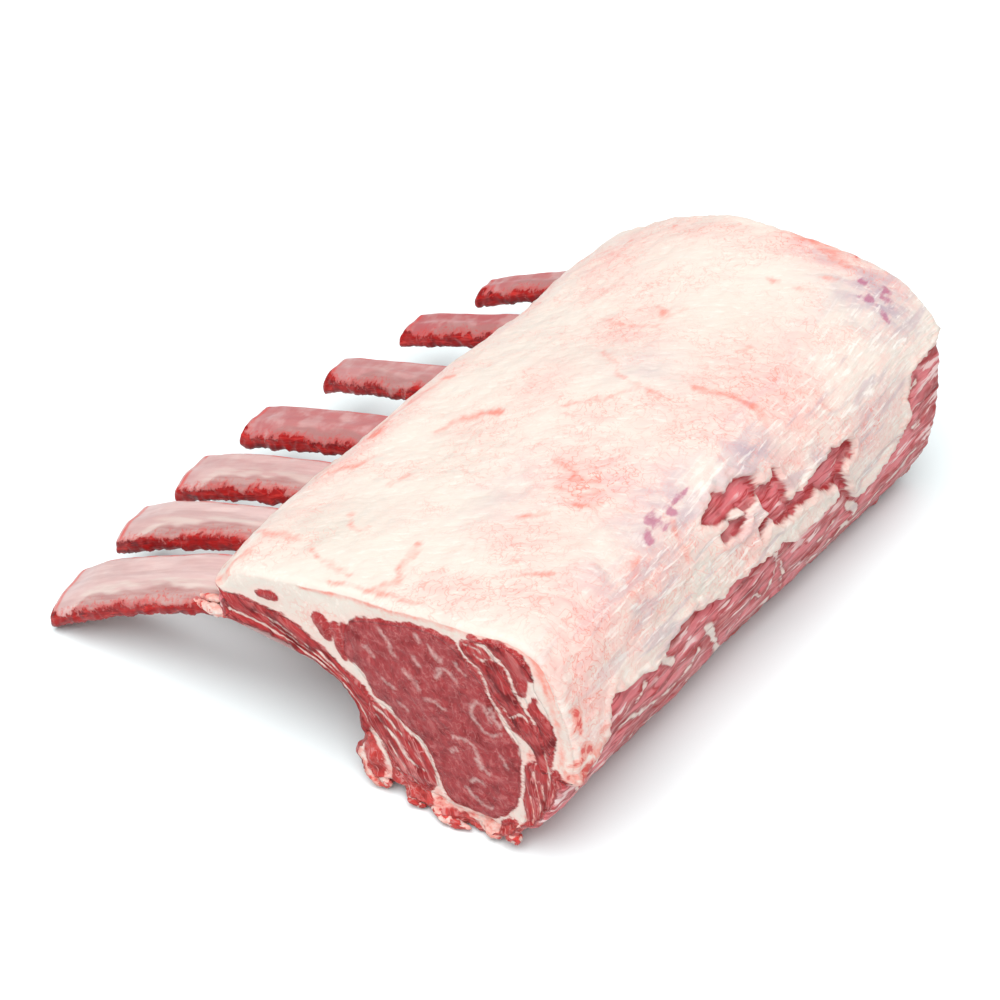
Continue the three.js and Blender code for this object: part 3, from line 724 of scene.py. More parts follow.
def skin_marks(place, girth, y):
    """Marks on the outer surface. lean and salmon are depths in mm, and the others run from 0 to 1."""
    lean, torn, wander = skin_lean(place, girth, y)
    seams = deepest_streak(wander, SKIN_SEAMS.values(), 0.7) + torn * 0.6
    purple = np.max([1 - np.hypot((wander[:, 0] - g) / a, (wander[:, 1] - l) / b)
                     for g, l, a, b in PURPLE_SPOTS], 0)
    chine = ease(girth, 150, 160) * (1 - ease(girth, 222, 234))
    edge = np.exp(-((lean + 1.2) / 2.2) ** 2) * ease(girth, 96, 104)
    return {
        "lean": np.clip(np.minimum(lean, -seams), -DEEP, DEEP),
        "raw": np.maximum.reduce([soft_areas(wander, RAW_AREAS), 0.7 * chine, 0.2 * edge]),
        "salmon": np.maximum(deepest_streak(wander, SALMON_STREAKS), -DEEP),
        "pink": soft_areas(wander, PINK_AREAS),
        "lilac": soft_areas(wander, LILAC_AREAS),
        "cream": soft_areas(wander, CREAM_AREAS),
        "purple": np.clip(purple - 0.2, -1, 1),
        "fleck": np.full(len(place), -DEEP),
        "eye": np.zeros(len(place)),
        # The veil thins over the chine and is left off the arch's underside. The lean there stays dark red,
        # both as bare lean and as painted shade under the arch.
        "veil": (1 - 0.7 * chine) * (1 - ease(girth, 212, 226)),
        "fibres": ease(girth, 90, 108) * (1 - chine) * (0.45 + 0.55 * ease(y, 14, 34)),
    }


def cut_lean(place, flat):
    """Depth inside the lean of a cut in mm, and below zero in fat or in a seam."""
    torn = rough(place, 2.6, 3, 3.1)
    wander = flat + np.stack([rough(place, 4, 2, 2.3), rough(place, 4, 2, 6.3)], 1) * 0.45
    lean = deepest(wander, CUT_LEAN.values()) + 0.85 + torn * 0.4
    seams = deepest_streak(wander, CUT_SEAMS.values(), 0.6) + torn * 0.28
    return np.clip(np.minimum(lean, -seams), -DEEP, DEEP)


def cut_marks(place, flat, depth, girth):
    """The same marks on a cut face. fleck is the depth in mm inside a pale fleck of the lean."""
    torn = rough(place, 2.6, 3, 3.1)
    wander = flat + np.stack([rough(place, 4, 2, 2.3), rough(place, 4, 2, 6.3)], 1) * 0.7
    edge = ease(girth, 54, 64) * (1 - ease(girth, 112, 122))
    salmon = (1.0 + torn * 0.8 - depth) * edge - (1 - edge) * DEEP
    salmon = np.maximum(salmon, deepest_streak(wander, CUT_SALMON) + torn * 0.3)
    near_rim = np.exp(-depth / 2.5)
    chine = 1 - ease(flat[:, 1], 5, 11)
    left = 1 - ease(flat[:, 0], -38, -35)
    right = ease(flat[:, 0], 1, 4) * (1 - ease(flat[:, 1], 28, 40))
    torn_off = np.maximum.reduce([0.7 * chine, 0.6 * left * (1 - ease(flat[:, 1], 18, 24)), 0.8 * right])
    return {
        "lean": cut_lean(place, flat),
        "raw": torn_off,
        "salmon": np.maximum(salmon, -DEEP),
        "pink": np.maximum(0.15 + 0.45 * near_rim * ease(girth, 90, 110), 0.5 * chine),
        "lilac": np.zeros(len(flat)),
        "cream": 0.35 * (1 - chine),
        "purple": np.full(len(flat), -1.0),
        "fleck": np.maximum(deepest_streak(wander, EYE_FLECKS, 1.3), -DEEP),
        "eye": ease(patch_depth(flat, CUT_LEAN["eye"]), -0.8, 0.4),
        "veil": np.zeros(len(flat)),
        "fibres": np.zeros(len(flat)),
    }


# ---- The body's pieces ----

# Walls that lie deeper than this under the skin are hidden, and have only this many rows of points.
WALL_DETAIL_DEPTH = 6.0
WALL_ROWS = 15
# A point is on the outer surface when it lies less deep than this.
ON_SKIN = 1e-3
RELIEF_DEPTH = 8
END_FADE = 5


def skin_height(place, girth, y):
    """How far the outer surface stands off its smooth form, in mm."""
    sizes = bpy.context.scene.lamb_sizes
    lumps = rough(place, (26, 30, 26), 3, 1.7) * sizes.lumps / MM
    wrinkles = rough(place, (2.6, 9, 2.6), 3, 5.1) * sizes.wrinkles / MM
    lean = skin_lean(place, girth, y)[0]
    recess = ease(lean, -0.7, 0.9) * sizes.lean_recess / MM
    crease = 0.7 * np.exp(-((lean - 0.9) / 0.9) ** 2) * ease(girth, 100, 112) * (1 - ease(girth, 146, 156))
    lip = 0.8 * np.exp(-((lean + 1.2) / 0.9) ** 2) - crease
    fibres = rough(place, (1.7, 14, 1.7), 3, 6.6) * 0.5 * ease(lean, -0.4, 1)
    shoulder = ease(girth, 78, 96) * (1 - ease(y, 50, 90))
    fibres = fibres + rough(place, (3.0, 4.5, 3.0), 3, 3.9) * 0.3 * shoulder
    chine = ease(girth, 156, 166) * (1 - ease(girth, 216, 228))
    ragged = (rough(place, 6, 3, 9.9) * 1.3 + rough(place, 2.2, 2, 9.1) * 0.5 - 0.8) * chine
    return (lumps - recess) * (1 - chine) + wrinkles + lip + fibres + ragged


def cut_height(flat, end):
    """How far a cut face stands off its plane, in mm."""
    sizes = bpy.context.scene.lamb_sizes
    place = np.c_[flat[:, 0], flat[:, 0] * 0 + end * LENGTH, flat[:, 1]]
    lean = cut_lean(place, flat)
    broad = rough(place, 16, 3, 2.3) * 0.5
    crown = sizes.crown / MM * (1 - np.exp(-np.maximum(lean, 0) / 1.1))
    fibres = rough(place, 1.3, 2, 5.5) * 0.12 * ease(lean, 0, 1)
    chine = 1 - ease(flat[:, 1], 3, 9)
    ragged = (rough(place, 5, 3, 7.3) * 1.4 + rough(place, 2, 2, 3.3) * 0.5 - 0.5) * chine
    lumps = np.zeros(len(flat))
    for x, z, radius, out in CHINE_LUMPS:
        lumps += out * np.exp(-((flat[:, 0] - x) ** 2 + (flat[:, 1] - z) ** 2) / radius**2)
    return broad + crown + fibres + ragged + lumps * (1 - end)


def stations():
    sizes = bpy.context.scene.lamb_sizes
    rim = sizes.rim_radius / MM
    near = np.array([0, 0.08, 0.25, 0.55, 1.0]) * rim
    count = round((LENGTH - 2 * rim) / (sizes.skin_step / MM))
    return np.concatenate([near[:-1], np.linspace(rim, LENGTH - rim, count + 1), LENGTH - near[:-1][::-1]])


def body_points(index, y, end_height):
    """Section points carried to y, with the skin's relief, its rounded rims and the cuts' relief."""
    cut = section()
    sizes = bpy.context.scene.lamb_sizes
    rim = sizes.rim_radius / MM
    share = np.clip(y / LENGTH, 0, 1)
    flat = cut["flat"][index] + cut["carried"][index] * share[:, None]
    place = bowed(flat, y)
    depth, normal, girth = cut["depth"][index], cut["normal"][index], cut["girth"][index]
    to_end = np.minimum(y, LENGTH - y)
    inset = rim - np.sqrt(np.maximum(rim**2 - np.maximum(rim - to_end, 0) ** 2, 0))
    height = np.zeros(len(index))
    close = depth < RELIEF_DEPTH
    height[close] = skin_height(place[close], girth[close], y[close])
    move = (height - inset) * np.exp(-(depth / 3) ** 1.5)
    place[:, 0] += normal[:, 0] * move
    place[:, 2] = np.maximum(place[:, 2] + normal[:, 1] * move, 0)
    fade = np.clip(1 - to_end / END_FADE, 0, 1)
    place[:, 1] += np.where(y < LENGTH / 2, -1, 1) * end_height * fade
    return place


@lru_cache(maxsize=2)
def end_heights(end):
    return cut_height(section()["flat"], end)


def body_piece(name):
    """One closed mesh: the region's triangles at both cuts, joined by walls along its boundary."""
    cut = section()
    triangles = cut["triangles"][cut["label"] == name]
    corners = np.unique(triangles)
    every = stations()
    coarse = np.unique(np.linspace(0, len(every) - 1, WALL_ROWS).round().astype(int))
    front_height, back_height = end_heights(0), end_heights(1)
    lookup = np.zeros(len(cut["flat"]), int)
    lookup[corners] = np.arange(len(corners))

    rows = [(corners, np.zeros(len(corners)), front_height[corners]),
            (corners, np.full(len(corners), LENGTH), back_height[corners])]
    faces = [tuple(t) for t in lookup[triangles]]
    faces += [tuple(t) for t in lookup[triangles][:, ::-1] + len(corners)]
    count = 2 * len(corners)
    for loop in chain(border_edges(triangles)):
        points = np.array(loop)
        depth = cut["depth"][points]
        fine = (depth < WALL_DETAIL_DEPTH) & (depth < ON_SKIN).any()
        table = np.full((len(every), len(points)), -1)
        table[0] = lookup[points]
        table[-1] = lookup[points] + len(corners)
        for row, y in enumerate(every[1:-1], 1):
            chosen = np.flatnonzero(fine | (row in coarse))
            height = front_height if y < LENGTH / 2 else back_height
            rows.append((points[chosen], np.full(len(chosen), y), height[points[chosen]]))
            table[row, chosen] = count + np.arange(len(chosen))
            count += len(chosen)
        faces += wall_faces(table, fine, coarse)
    index, y, end_height = (np.concatenate(column) for column in zip(*rows))
    on_cut = np.zeros(len(index))
    on_cut[:2 * len(corners)] = 1
    return body_points(index, y, end_height), faces, {"index": index, "y": y, "on_cut": on_cut}


def wall_faces(table, fine, coarse):
    """The wall along one boundary loop. The table has a row of point numbers for each station.

    It holds -1 where a column has no point.
    """
    faces = []
    columns = table.shape[1]
    for i in range(columns):
        j = (i + 1) % columns
        stops = range(len(table)) if fine[i] and fine[j] else coarse
        for low, high in zip(stops[:-1], stops[1:]):
            up = [n for n in table[low:high + 1, i].tolist() if n >= 0]
            down = [n for n in table[high:low:-1, j].tolist() if n >= 0]
            faces.append((int(table[low, j]), *up, *down))
    return faces


def border_edges(triangles):
    """The directed edges that no neighbouring triangle shares."""
    edges = np.vstack([triangles[:, [0, 1]], triangles[:, [1, 2]], triangles[:, [2, 0]]])
    keys = {tuple(e) for e in edges}
    return [tuple(e) for e in edges if (e[1], e[0]) not in keys]


def chain(border):
    """Directed boundary edges as closed loops of point numbers."""
    follows = dict(border)
    loops = []
    while follows:
        start, here = next(iter(follows.items()))
        del follows[start]
        loop = [start]
        while here != start:
            loop.append(here)
            here = follows.pop(here)
        loops.append(loop)
    return loops


def piece_marks(node, found):
    """Each point's marks: the cuts' own on the cut faces, the skin's on the outer surface."""
    cut = section()
    index, y, on_cut = found["index"], found["y"], found["on_cut"] > 0
    on_skin = ~on_cut & (cut["depth"][index] < ON_SKIN)
    names = ("lean", "raw", "salmon", "pink", "lilac", "cream", "purple", "fleck", "eye", "veil", "fibres")
    marks = {name: np.zeros(len(index)) for name in names}
    smooth = bowed(cut["flat"][index] + cut["carried"][index] * (y / LENGTH)[:, None], y)
    for where, made in ((on_cut, cut_marks(smooth[on_cut], cut["flat"][index[on_cut]],
                                           cut["depth"][index[on_cut]], cut["girth"][index[on_cut]])),
                        (on_skin, skin_marks(smooth[on_skin], cut["girth"][index[on_skin]], y[on_skin]))):
        for name in names:
            marks[name][where] = made[name]
    marks["flow"] = skin_flow(cut["girth"][index], y)
    marks["flow"][on_cut] = cut_flow(node, cut["flat"][index[on_cut]], y[on_cut])
    return marks


def mesh_object(name, place, faces, marks, material):
    """A mesh from mm drawing coordinates, with its marks as float attributes."""
    mesh = bpy.data.meshes.new(name)
    mesh.from_pydata((place * MM + ORIGIN).tolist(), [], faces)
    for mark, values in marks.items():
        kind, field = ("FLOAT", "value") if values.ndim == 1 else ("FLOAT_VECTOR", "vector")
        layer = mesh.attributes.new(mark, kind, "POINT")
        layer.data.foreach_set(field, values.astype(np.float32).ravel())
    mesh.shade_smooth()
    mesh.materials.append(material)
    piece = bpy.data.objects.new(name, mesh)
    bpy.context.scene.collection.objects.link(piece)
    return piece


def add_body_piece(piece_name, node, material):
    place, faces, found = body_piece(node)
    marks = piece_marks(node, found)
    piece = mesh_object(piece_name, place, faces, marks, material)
    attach(piece, "root")
    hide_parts(node)


# ---- Ribs ----

def rib_line(k):
    """The line of a rib's lower face: its points, tangents, distances along and where it comes out."""
    exit_y = RIB_EXIT_Y[k]
    exit_x, exit_z = RIB_INNER_PATH[-1]
    tip = np.array([RIB_TIP_X[k], RIB_TIP_Y[k], RIB_TIP_Z[k]], float)
    lean = (tip[1] - exit_y) / (exit_x - tip[0])
    inner = np.array(RIB_INNER_PATH, float)
    y = exit_y - (inner[:, 0] - exit_x) * lean * RIB_LEAN_INSIDE
    points = list(bowed(inner, y))
    leaving = points[-1]
    for share in RIB_BOW_AT:
        p = leaving + (tip - leaving) * share
        p[2] += RIB_BARE_BOW[k] * math.sin(math.pi * share)
        points.append(p)
    curve = smooth_line([*points, tip])
    along = np.concatenate([[0], np.cumsum(np.linalg.norm(np.diff(curve, axis=0), axis=1))])
    exit_at = along[(len(RIB_INNER_PATH) - 1) * CURVE_STEPS]
    return curve, along, exit_at


def rib_stations(total, exit_at):
    """Distances along a rib for its rings, with their shrinkage towards the rounded tip."""
    step = bpy.context.scene.lamb_sizes.rib_step / MM
    fine_from = exit_at - RIB_FINE_FROM
    hidden = np.arange(0, fine_from, RIB_HIDDEN_STEP)
    bare = np.linspace(fine_from, total - RIB_TIP_ROUND, round((total - fine_from) / step))
    turn = np.linspace(0, math.pi / 2, 5)[1:]
    at = np.concatenate([hidden, bare, total - RIB_TIP_ROUND * (1 - np.sin(turn))])
    shrink = np.concatenate([np.zeros(len(hidden) + len(bare)), RIB_TIP_ROUND * (1 - np.cos(turn))])
    return at, shrink


def rib_section(count):
    """Unit section points as (across, up)."""
    angle = np.arange(count) / count * 2 * math.pi
    c, w = np.cos(angle), np.sin(angle)
    radius = (np.abs(c) ** RIB_POWER + np.abs(w) ** RIB_POWER) ** (-1 / RIB_POWER)
    return np.stack([c * radius, w * radius], 1)


def edge_distance(flat, corner):
    """Distance in mm round a rib's section from one of its lower edges."""
    steps = np.linalg.norm(np.roll(flat, -1, 0) - flat, axis=1)
    total = steps.sum()
    start = np.argmin(np.linalg.norm(flat - corner, axis=1))
    along = np.concatenate([[0], np.cumsum(np.roll(steps, -start))[:-1]])
    return np.roll(np.minimum(along, total - along), start)


def rib_axes(tangent, roll, upright):
    """A ring's directions across and up. Towards the sawn end it stands upright."""
    across = np.array([0, 1, 0]) - tangent * tangent[1]
    across /= np.linalg.norm(across)
    across = across * math.cos(roll) + np.cross(across, tangent) * math.sin(roll)
    sawn_up = np.array([0, -math.sin(roll), math.cos(roll)])
    up = np.cross(across, tangent) * (1 - upright) + sawn_up * upright
    return across, up / np.linalg.norm(up)


def rib_half(k, u):
    """Half of a rib's width and thickness in mm, at a share of its length."""
    neck = RIB_NECK_TAPER + (1 - RIB_NECK_TAPER) * ease(u, 0, RIB_NECK_SHARE)
    outer = ease(u, RIB_NECK_SHARE, 1)
    width = RIB_EXIT_WIDTH[k] + (RIB_TIP_WIDTH[k] - RIB_EXIT_WIDTH[k]) * outer
    thickness = RIB_EXIT_THICKNESS[k] + (RIB_TIP_THICKNESS[k] - RIB_EXIT_THICKNESS[k]) * outer
    return np.array([width, thickness]) / 2 * neck


def rib_ring(unit, size):
    """A ring's points and outward directions as (across, up), with its distances from three edges."""
    flat = unit * size
    flat[:, 1] -= size[1] * RIB_FRONT_SLOPE * ease(-unit[:, 0], 0.1, 1) * ease(unit[:, 1], -0.5, 0.9)
    outward = np.sign(unit) * np.abs(unit) ** (RIB_POWER - 1) / size
    outward /= np.linalg.norm(outward, axis=1)[:, None]
    edges = {
        "front": edge_distance(flat, (-size[0], -size[1])),
        "back": edge_distance(flat, (size[0], -size[1])),
        "ridge": edge_distance(flat, (size[0], size[1])),
    }
    return flat, outward, edges


def rib_mesh(k):
    """A rib as rings swept along its line, from inside the meat to its sawn end, and their marks."""
    curve, along, exit_at = rib_line(k)
    total = along[-1]
    unit = rib_section(RIB_RING)
    rings, marks = [], []
    for distance, less in zip(*rib_stations(total, exit_at)):
        centre, tangent = on_line(curve, along, distance)
        u = distance / total
        across, up = rib_axes(tangent, math.radians(RIB_ROLL[k]), ease(u, RIB_UPRIGHT_FROM, 1))
        half = rib_half(k, u)
        flat, outward, edges = rib_ring(unit, half - less)
        ring = centre + up * half[1] + flat[:, :1] * across + flat[:, 1:] * up
        height, found = rib_relief(ring, unit, edges, total - distance, distance - exit_at, k)
        rings.append(ring + (outward[:, :1] * across + outward[:, 1:] * up) * height[:, None])
        marks.append(found)
    return rings, marks


def on_line(curve, along, distance):
    """The point and the tangent at a distance along a curve."""
    centre = np.array([np.interp(distance, along, curve[:, i]) for i in range(3)])
    ahead = np.array([np.interp(min(distance + 0.5, along[-1]), along, curve[:, i]) for i in range(3)])
    behind = np.array([np.interp(max(distance - 0.5, 0), along, curve[:, i]) for i in range(3)])
    return centre, (ahead - behind) / np.linalg.norm(ahead - behind)


def rib_relief(ring, unit, edges, from_tip, from_exit, k):
    """How far a ring stands off its smooth form in mm, and its marks."""
    sizes = bpy.context.scene.lamb_sizes
    front, back, ridge = edges["front"], edges["back"], edges["ridge"]
    ragged = rough(ring, 1.7, 3, 2.2 + k)
    slow = rough(ring, 9, 2, 4.6 + k)
    corner = 2.2 * math.exp(-(from_tip / 3.5) ** 2) * RIB_BLOOD[k]
    fringe = RIB_FRINGE[0] * (0.85 + 0.5 * slow) + corner
    meat = np.maximum(fringe - front, RIB_FRINGE[1] - back) + ragged * 1.5
    meat = meat - DEEP * (1 - ease(from_exit, -14, -7))
    hang = rough(ring * (1, 0.2, 0.2), 3.4, 2, 8.8 + k)
    near_front = np.exp(-(front / 2.2) ** 2)
    hollow = np.exp(-((unit[:, 0] - 0.25) / 0.4) ** 2) * ease(unit[:, 1], 0.6, 0.95)
    height = rough(ring, (18, 6, 6), 2, 1.1 + k) * 0.3 - hollow * 0.45
    height = height + ease(meat, -0.4, 1.6) * (0.1 + 0.5 * ragged) * sizes.fringe / MM
    height = height + near_front * (np.maximum(hang, 0) * 1.3 + 0.7) * sizes.fringe / MM
    height = height * ease(from_exit, -6, 0)
    # side is positive on the band along the rib's lower front side, which the bone colour darkens as painted
    # shade; the painted crest highlight lies just above it.
    side = RIB_SHADED_SIDE_BAND * ease(from_tip, 4, 20) + slow * 1.6 - front
    marks = {
        "lean": np.clip(meat, -DEEP, DEEP), "side": np.clip(side, -DEEP, DEEP),
        "ridge": ridge, "tip": np.full(len(ring), from_tip),
        "red": np.full(len(ring), RIB_REDNESS[k]), "marrow": np.zeros(len(ring)),
        "flow": np.stack([front, np.full(len(ring), from_tip / RIB_STRETCH),
                          np.full(len(ring), 30.0 * k)], 1),
    }
    return height, marks


def ring_faces(start, rings, count):
    """Faces between rings of points, with the first and the last ring closed."""
    faces = []
    for a in range(start, start + (rings - 1) * count, count):
        for j in range(count):
            b = (j + 1) % count
            faces.append((a + j, a + b, a + b + count, a + j + count))
    last = start + (rings - 1) * count
    faces.append(tuple(range(start, start + count))[::-1])
    faces.append(tuple(range(last, last + count)))
    return faces


def rib_piece(k, material):
    rings, marks = rib_mesh(k)
    end, middle = rings[-1], rings[-1].mean(0)
    for share in RIB_END_RINGS:
        pitted = rough(end, 2.0, 2, k) * 0.35 * (1 - share)
        rings.append(middle + (end - middle) * share + pitted[:, None] * np.array([1, 0, 0]))
        marks.append({**marks[-1], "marrow": np.full(RIB_RING, (1 - share) * MARROW_DEPTH)})
    place = np.vstack(rings)
    place[:, 2] = np.maximum(place[:, 2], 0.05)
    joined = {name: np.concatenate([m[name] for m in marks]) for name in marks[0]}
    faces = ring_faces(0, len(rings), RIB_RING)
    piece = mesh_object(f"rib_bone_{k + 1}", place, faces, joined, material)
    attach(piece, "root")
    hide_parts(f"rib_{k + 1}")


# ---- Scraps ----

# Loose scraps as lines of (x, y, z), with their radii along the line and how much of each is lean.
CHINE_SCRAPS = [
    ([(-23, 0.8, 3.4), (-19.6, -0.8, 2.2), (-15.6, -1.4, 1.6),
      (-11, -0.8, 1.3)], (0.8, 1.4, 1.3, 0.6), 0.0),
    ([(-21, 1.2, 1.6), (-17, 0, 1.0), (-12.6, -0.2, 0.9)], (0.7, 1.1, 0.5), -0.6),
    ([(-29.4, 0.8, 2.4), (-26.8, -0.8, 2.0), (-23.4, -0.4, 1.2)], (0.8, 1.3, 0.6), 0.6),
    ([(-37.6, 1.6, 9), (-38.6, 0.2, 5.4), (-37, -0.2, 2.2), (-33.6, 0.4, 1.4)], (0.8, 1.6, 1.4, 0.7), -1.8),
    ([(-36, 0.8, 7), (-35.2, -0.4, 4), (-33, -0.2, 2.4)], (0.6, 1.1, 0.8), 0.1),
    ([(-9, 1.4, 4), (-6.4, 0, 2.6), (-3.6, 0.4, 1.6)], (0.7, 1.2, 0.7), -0.9),
    ([(-2.6, 1.8, 5.4), (-0.8, 0.5, 4.0), (1.2, 0.9, 3.0)], (0.9, 1.7, 1.2), 0.2),
]
RIB_TAGS = [
    ([(-76, 1.0, 33), (-80.6, 0.2, 32.4), (-85.6, 0.9, 31.4),
      (-91, 1.8, 30.4)], (0.9, 1.3, 1.1, 0.5), -1.0),
    ([(-78, 2.2, 35), (-82.6, 1.6, 33.8), (-87.6, 2.2, 32.2)], (0.7, 1.1, 0.5), -1.2),
    ([(-78, 1.0, 31.4), (-82, 0.8, 30.6), (-85.4, 1.4, 30)], (0.7, 1.0, 0.6), -0.2),
]
SCRAP_RING = 22
SCRAP_STEPS = 14


def scrap(line, radii, lean, seed):
    """One torn scrap: rings swept along a line, with closed ends, and the marks of its points."""
    curve = smooth_line(line, SCRAP_STEPS)
    at = np.linspace(0, 1, len(curve))
    radius = np.interp(at, np.linspace(0, 1, len(radii)), radii)
    radius = radius * np.sqrt(np.clip(1 - (2 * at - 1) ** 8, 0.02, 1))
    tangent = np.gradient(curve, axis=0)
    tangent /= np.linalg.norm(tangent, axis=1)[:, None]
    across = np.cross(tangent, (0, 0, 1))
    across /= np.linalg.norm(across, axis=1)[:, None]
    up = np.cross(across, tangent)
    angle = np.arange(SCRAP_RING) / SCRAP_RING * 2 * math.pi
    outward = across[:, None] * np.cos(angle)[None, :, None] + up[:, None] * np.sin(angle)[None, :, None]
    smooth = (curve[:, None] + outward * radius[:, None, None]).reshape(-1, 3)
    ragged = rough(smooth, 2.0, 3, seed) * 0.4 + rough(smooth, 0.7, 2, seed + 3) * 0.1
    place = smooth + outward.reshape(-1, 3) * (ragged * np.repeat(radius, SCRAP_RING))[:, None]
    place[:, 2] = np.maximum(place[:, 2], 0)
    found = np.full(len(place), lean) + rough(smooth, 1.3, 3, seed + 6) * 2.2
    flow = np.stack([np.tile(angle, len(curve)) * 2, np.repeat(at, SCRAP_RING) * 3,
                     np.full(len(place), 10.0 * seed)], 1)
    return place, found, flow


def scraps_piece(name, lines, material):
    """Several scraps joined in one mesh."""
    places, leans, flows, faces = [], [], [], []
    for seed, (line, radii, lean) in enumerate(lines, 1):
        place, found, flow = scrap(line, radii, lean, seed)
        start = sum(len(p) for p in places)
        # These rings turn the other way from a rib's, so each face is turned over.
        found_faces = ring_faces(start, len(place) // SCRAP_RING, SCRAP_RING)
        faces += [face[:1] + face[:0:-1] for face in found_faces]
        places.append(place)
        leans.append(found)
        flows.append(flow)
    place, lean = np.vstack(places), np.concatenate(leans)
    flat = np.zeros(len(place))
    marks = {
        "lean": lean, "raw": flat + 0.75, "salmon": flat - DEEP, "pink": flat + 0.5, "lilac": flat,
        "cream": flat + 0.3, "purple": flat - 1, "fleck": flat - DEEP, "eye": flat, "veil": flat,
        "fibres": flat + 0.6,
        "flow": np.vstack(flows),
    }
    piece = mesh_object(name, place, faces, marks, material)
    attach(piece, "root")


# ---- Materials ----
# Grain sizes and depths are in mm. Every ramp is ranged(value, from, to, result at from, result at to).
GRAIN_ROUGHNESS = 0.55
EDGE_STRETCH = (1, 0.35, 1)
FAT_SHAKE, FAT_SHAKE_BY = 7, 5
FAT_BROAD, FAT_MIDDLING, FAT_FINE = 13, 3.6, 1.1
FAT_TURN = (0, 0, math.radians(33))
FAT_GLEAM = (0.90, 0.82, 0.76)
FIBRE_GLEAM = (0.84, 0.78, 0.73)
FIBRE_SHAKE, FIBRE_SHAKE_BY = 6, 3
FIBRE_THREAD, FIBRE_BAND = 1.0, 3.2
LEAN_SHAKE, LEAN_SHAKE_BY = 4, 2.4
LEAN_FIBRE, LEAN_BUNDLE, LEAN_BROAD, LEAN_RELIEF = 0.6, 1.7, 4.5, 1.6
VEIL_SHAKE, VEIL_SHAKE_BY = 5, 4
SPECULAR = 0.14
COAT_ROUGHNESS = 0.2
RELIEF = 0.5
RELIEF_STRENGTH = 0.8
# Subsurface scattering: weight, radius for each colour and scale in metres.
FLESH_DEPTH = (0.3, (1.0, 0.35, 0.25), 0.0009)
BONE_DEPTH = (0.3, (1.0, 0.4, 0.3), 0.0012)
# Wet films: the size of the patches, the roughness of the wet and of the dry ones, and the clear coat.
FAT_WET = {"Patch": 0.12, "Wet": 0.36, "Dry": 0.52, "Coat": 0.1}
LEAN_WET = {"Patch": 0.4, "Wet": 0.34, "Dry": 0.5, "Coat": 0.08}
BONE_WET = {"Patch": 0.3, "Wet": 0.3, "Dry": 0.45, "Coat": 0.06}
# The inputs of the fat's group that follow a mark of the surface.
FAT_MARKS = {
    "Pinkness": "pink", "Lilacness": "lilac", "Creaminess": "cream", "Salmon Depth": "salmon",
    "Rawness": "raw", "Fibres": "fibres",
}


def add_node(tree, kind, inputs=None, **settings):
    """A new node. Each of its inputs is joined to a socket or set to a value."""
    node = tree.nodes.new("ShaderNode" + kind)
    for name, value in settings.items():
        setattr(node, name, value)
    for key, value in (inputs or {}).items():
        feed(tree, node.inputs[key], value)
    return node


def feed(tree, socket, value):
    if isinstance(value, bpy.types.NodeSocket):
        tree.links.new(value, socket)
    elif socket.type == "RGBA":
        socket.default_value = (*value, 1)
    else:
        socket.default_value = value


def maths(tree, operation, a, b=0.0, clamp=False):
    return add_node(tree, "Math", {0: a, 1: b}, operation=operation, use_clamp=clamp).outputs[0]


def times(tree, a, b, clamp=False):
    return maths(tree, "MULTIPLY", a, b, clamp)


def plus(tree, a, b):
    return maths(tree, "ADD", a, b)


def minus(tree, a, b):
    return maths(tree, "SUBTRACT", a, b)


def larger(tree, a, b):
    return maths(tree, "MAXIMUM", a, b)


def mixed(tree, factor, a, b):
    return add_node(tree, "Mix", {0: factor, 6: a, 7: b}, data_type="RGBA").outputs[2]


def layered(tree, colour, layers):
    """A colour with others laid over it in turn, each by its own mask."""
    for mask, tone in layers:
        colour = mixed(tree, mask, colour, tone)
    return colour


def ranged(tree, value, low, high, to_low=0.0, to_high=1.0):
    node = add_node(tree, "MapRange", {0: value, 1: low, 2: high, 3: to_low, 4: to_high},
                    interpolation_type="SMOOTHSTEP")
    return node.outputs[0]


def grain(tree, place, size, stretch=(1, 1, 1), detail=3.0, turn=(0, 0, 0)):
    """Noise with features of the given size in mm, drawn out along an axis where its stretch is over 1."""
    scale = tuple(size * s for s in stretch)
    moved = add_node(tree, "Mapping", {"Vector": place, "Rotation": turn, "Scale": scale},
                     vector_type="TEXTURE")
    node = add_node(tree, "TexNoise", {"Vector": moved.outputs[0], "Scale": 1.0, "Detail": detail,
                                       "Roughness": GRAIN_ROUGHNESS})
    return node.outputs[0]


def mark(tree, name):
    return add_node(tree, "Attribute", attribute_name=name).outputs["Fac"]


def fibre_place(tree):
    """Coordinates in mm in which the drawn-out fibres of the flesh are round."""
    return add_node(tree, "Attribute", attribute_name="flow").outputs["Vector"]


def moved_by(tree, operation, a, b):
    return add_node(tree, "VectorMath", {0: a, 1: b}, operation=operation).outputs[0]


def millimetres(tree):
    """The piece's own coordinates in mm."""
    return moved_by(tree, "MULTIPLY", add_node(tree, "TexCoord").outputs["Object"], (1 / MM,) * 3)


def warped(tree, place, size, amount):
    """Coordinates in mm shaken by soft noise of the given size."""
    moved = add_node(tree, "Mapping", {"Vector": place, "Scale": (size,) * 3}, vector_type="TEXTURE")
    shaken = add_node(tree, "TexNoise", {"Vector": moved.outputs[0], "Scale": 1.0, "Detail": 1.0})
    centred = moved_by(tree, "SUBTRACT", shaken.outputs["Color"], (0.5,) * 3)
    return moved_by(tree, "ADD", place, moved_by(tree, "MULTIPLY", centred, (amount,) * 3))


def veins(tree, place, size, width):
    """Thin curling lines: where a noise of the given size passes through its middle value."""
    across = maths(tree, "ABSOLUTE", minus(tree, grain(tree, place, size, detail=2), 0.5))
    return ranged(tree, across, width, 0.0)


SOCKETS = {"value": "NodeSocketFloat", "colour": "NodeSocketColor", "place": "NodeSocketVector"}


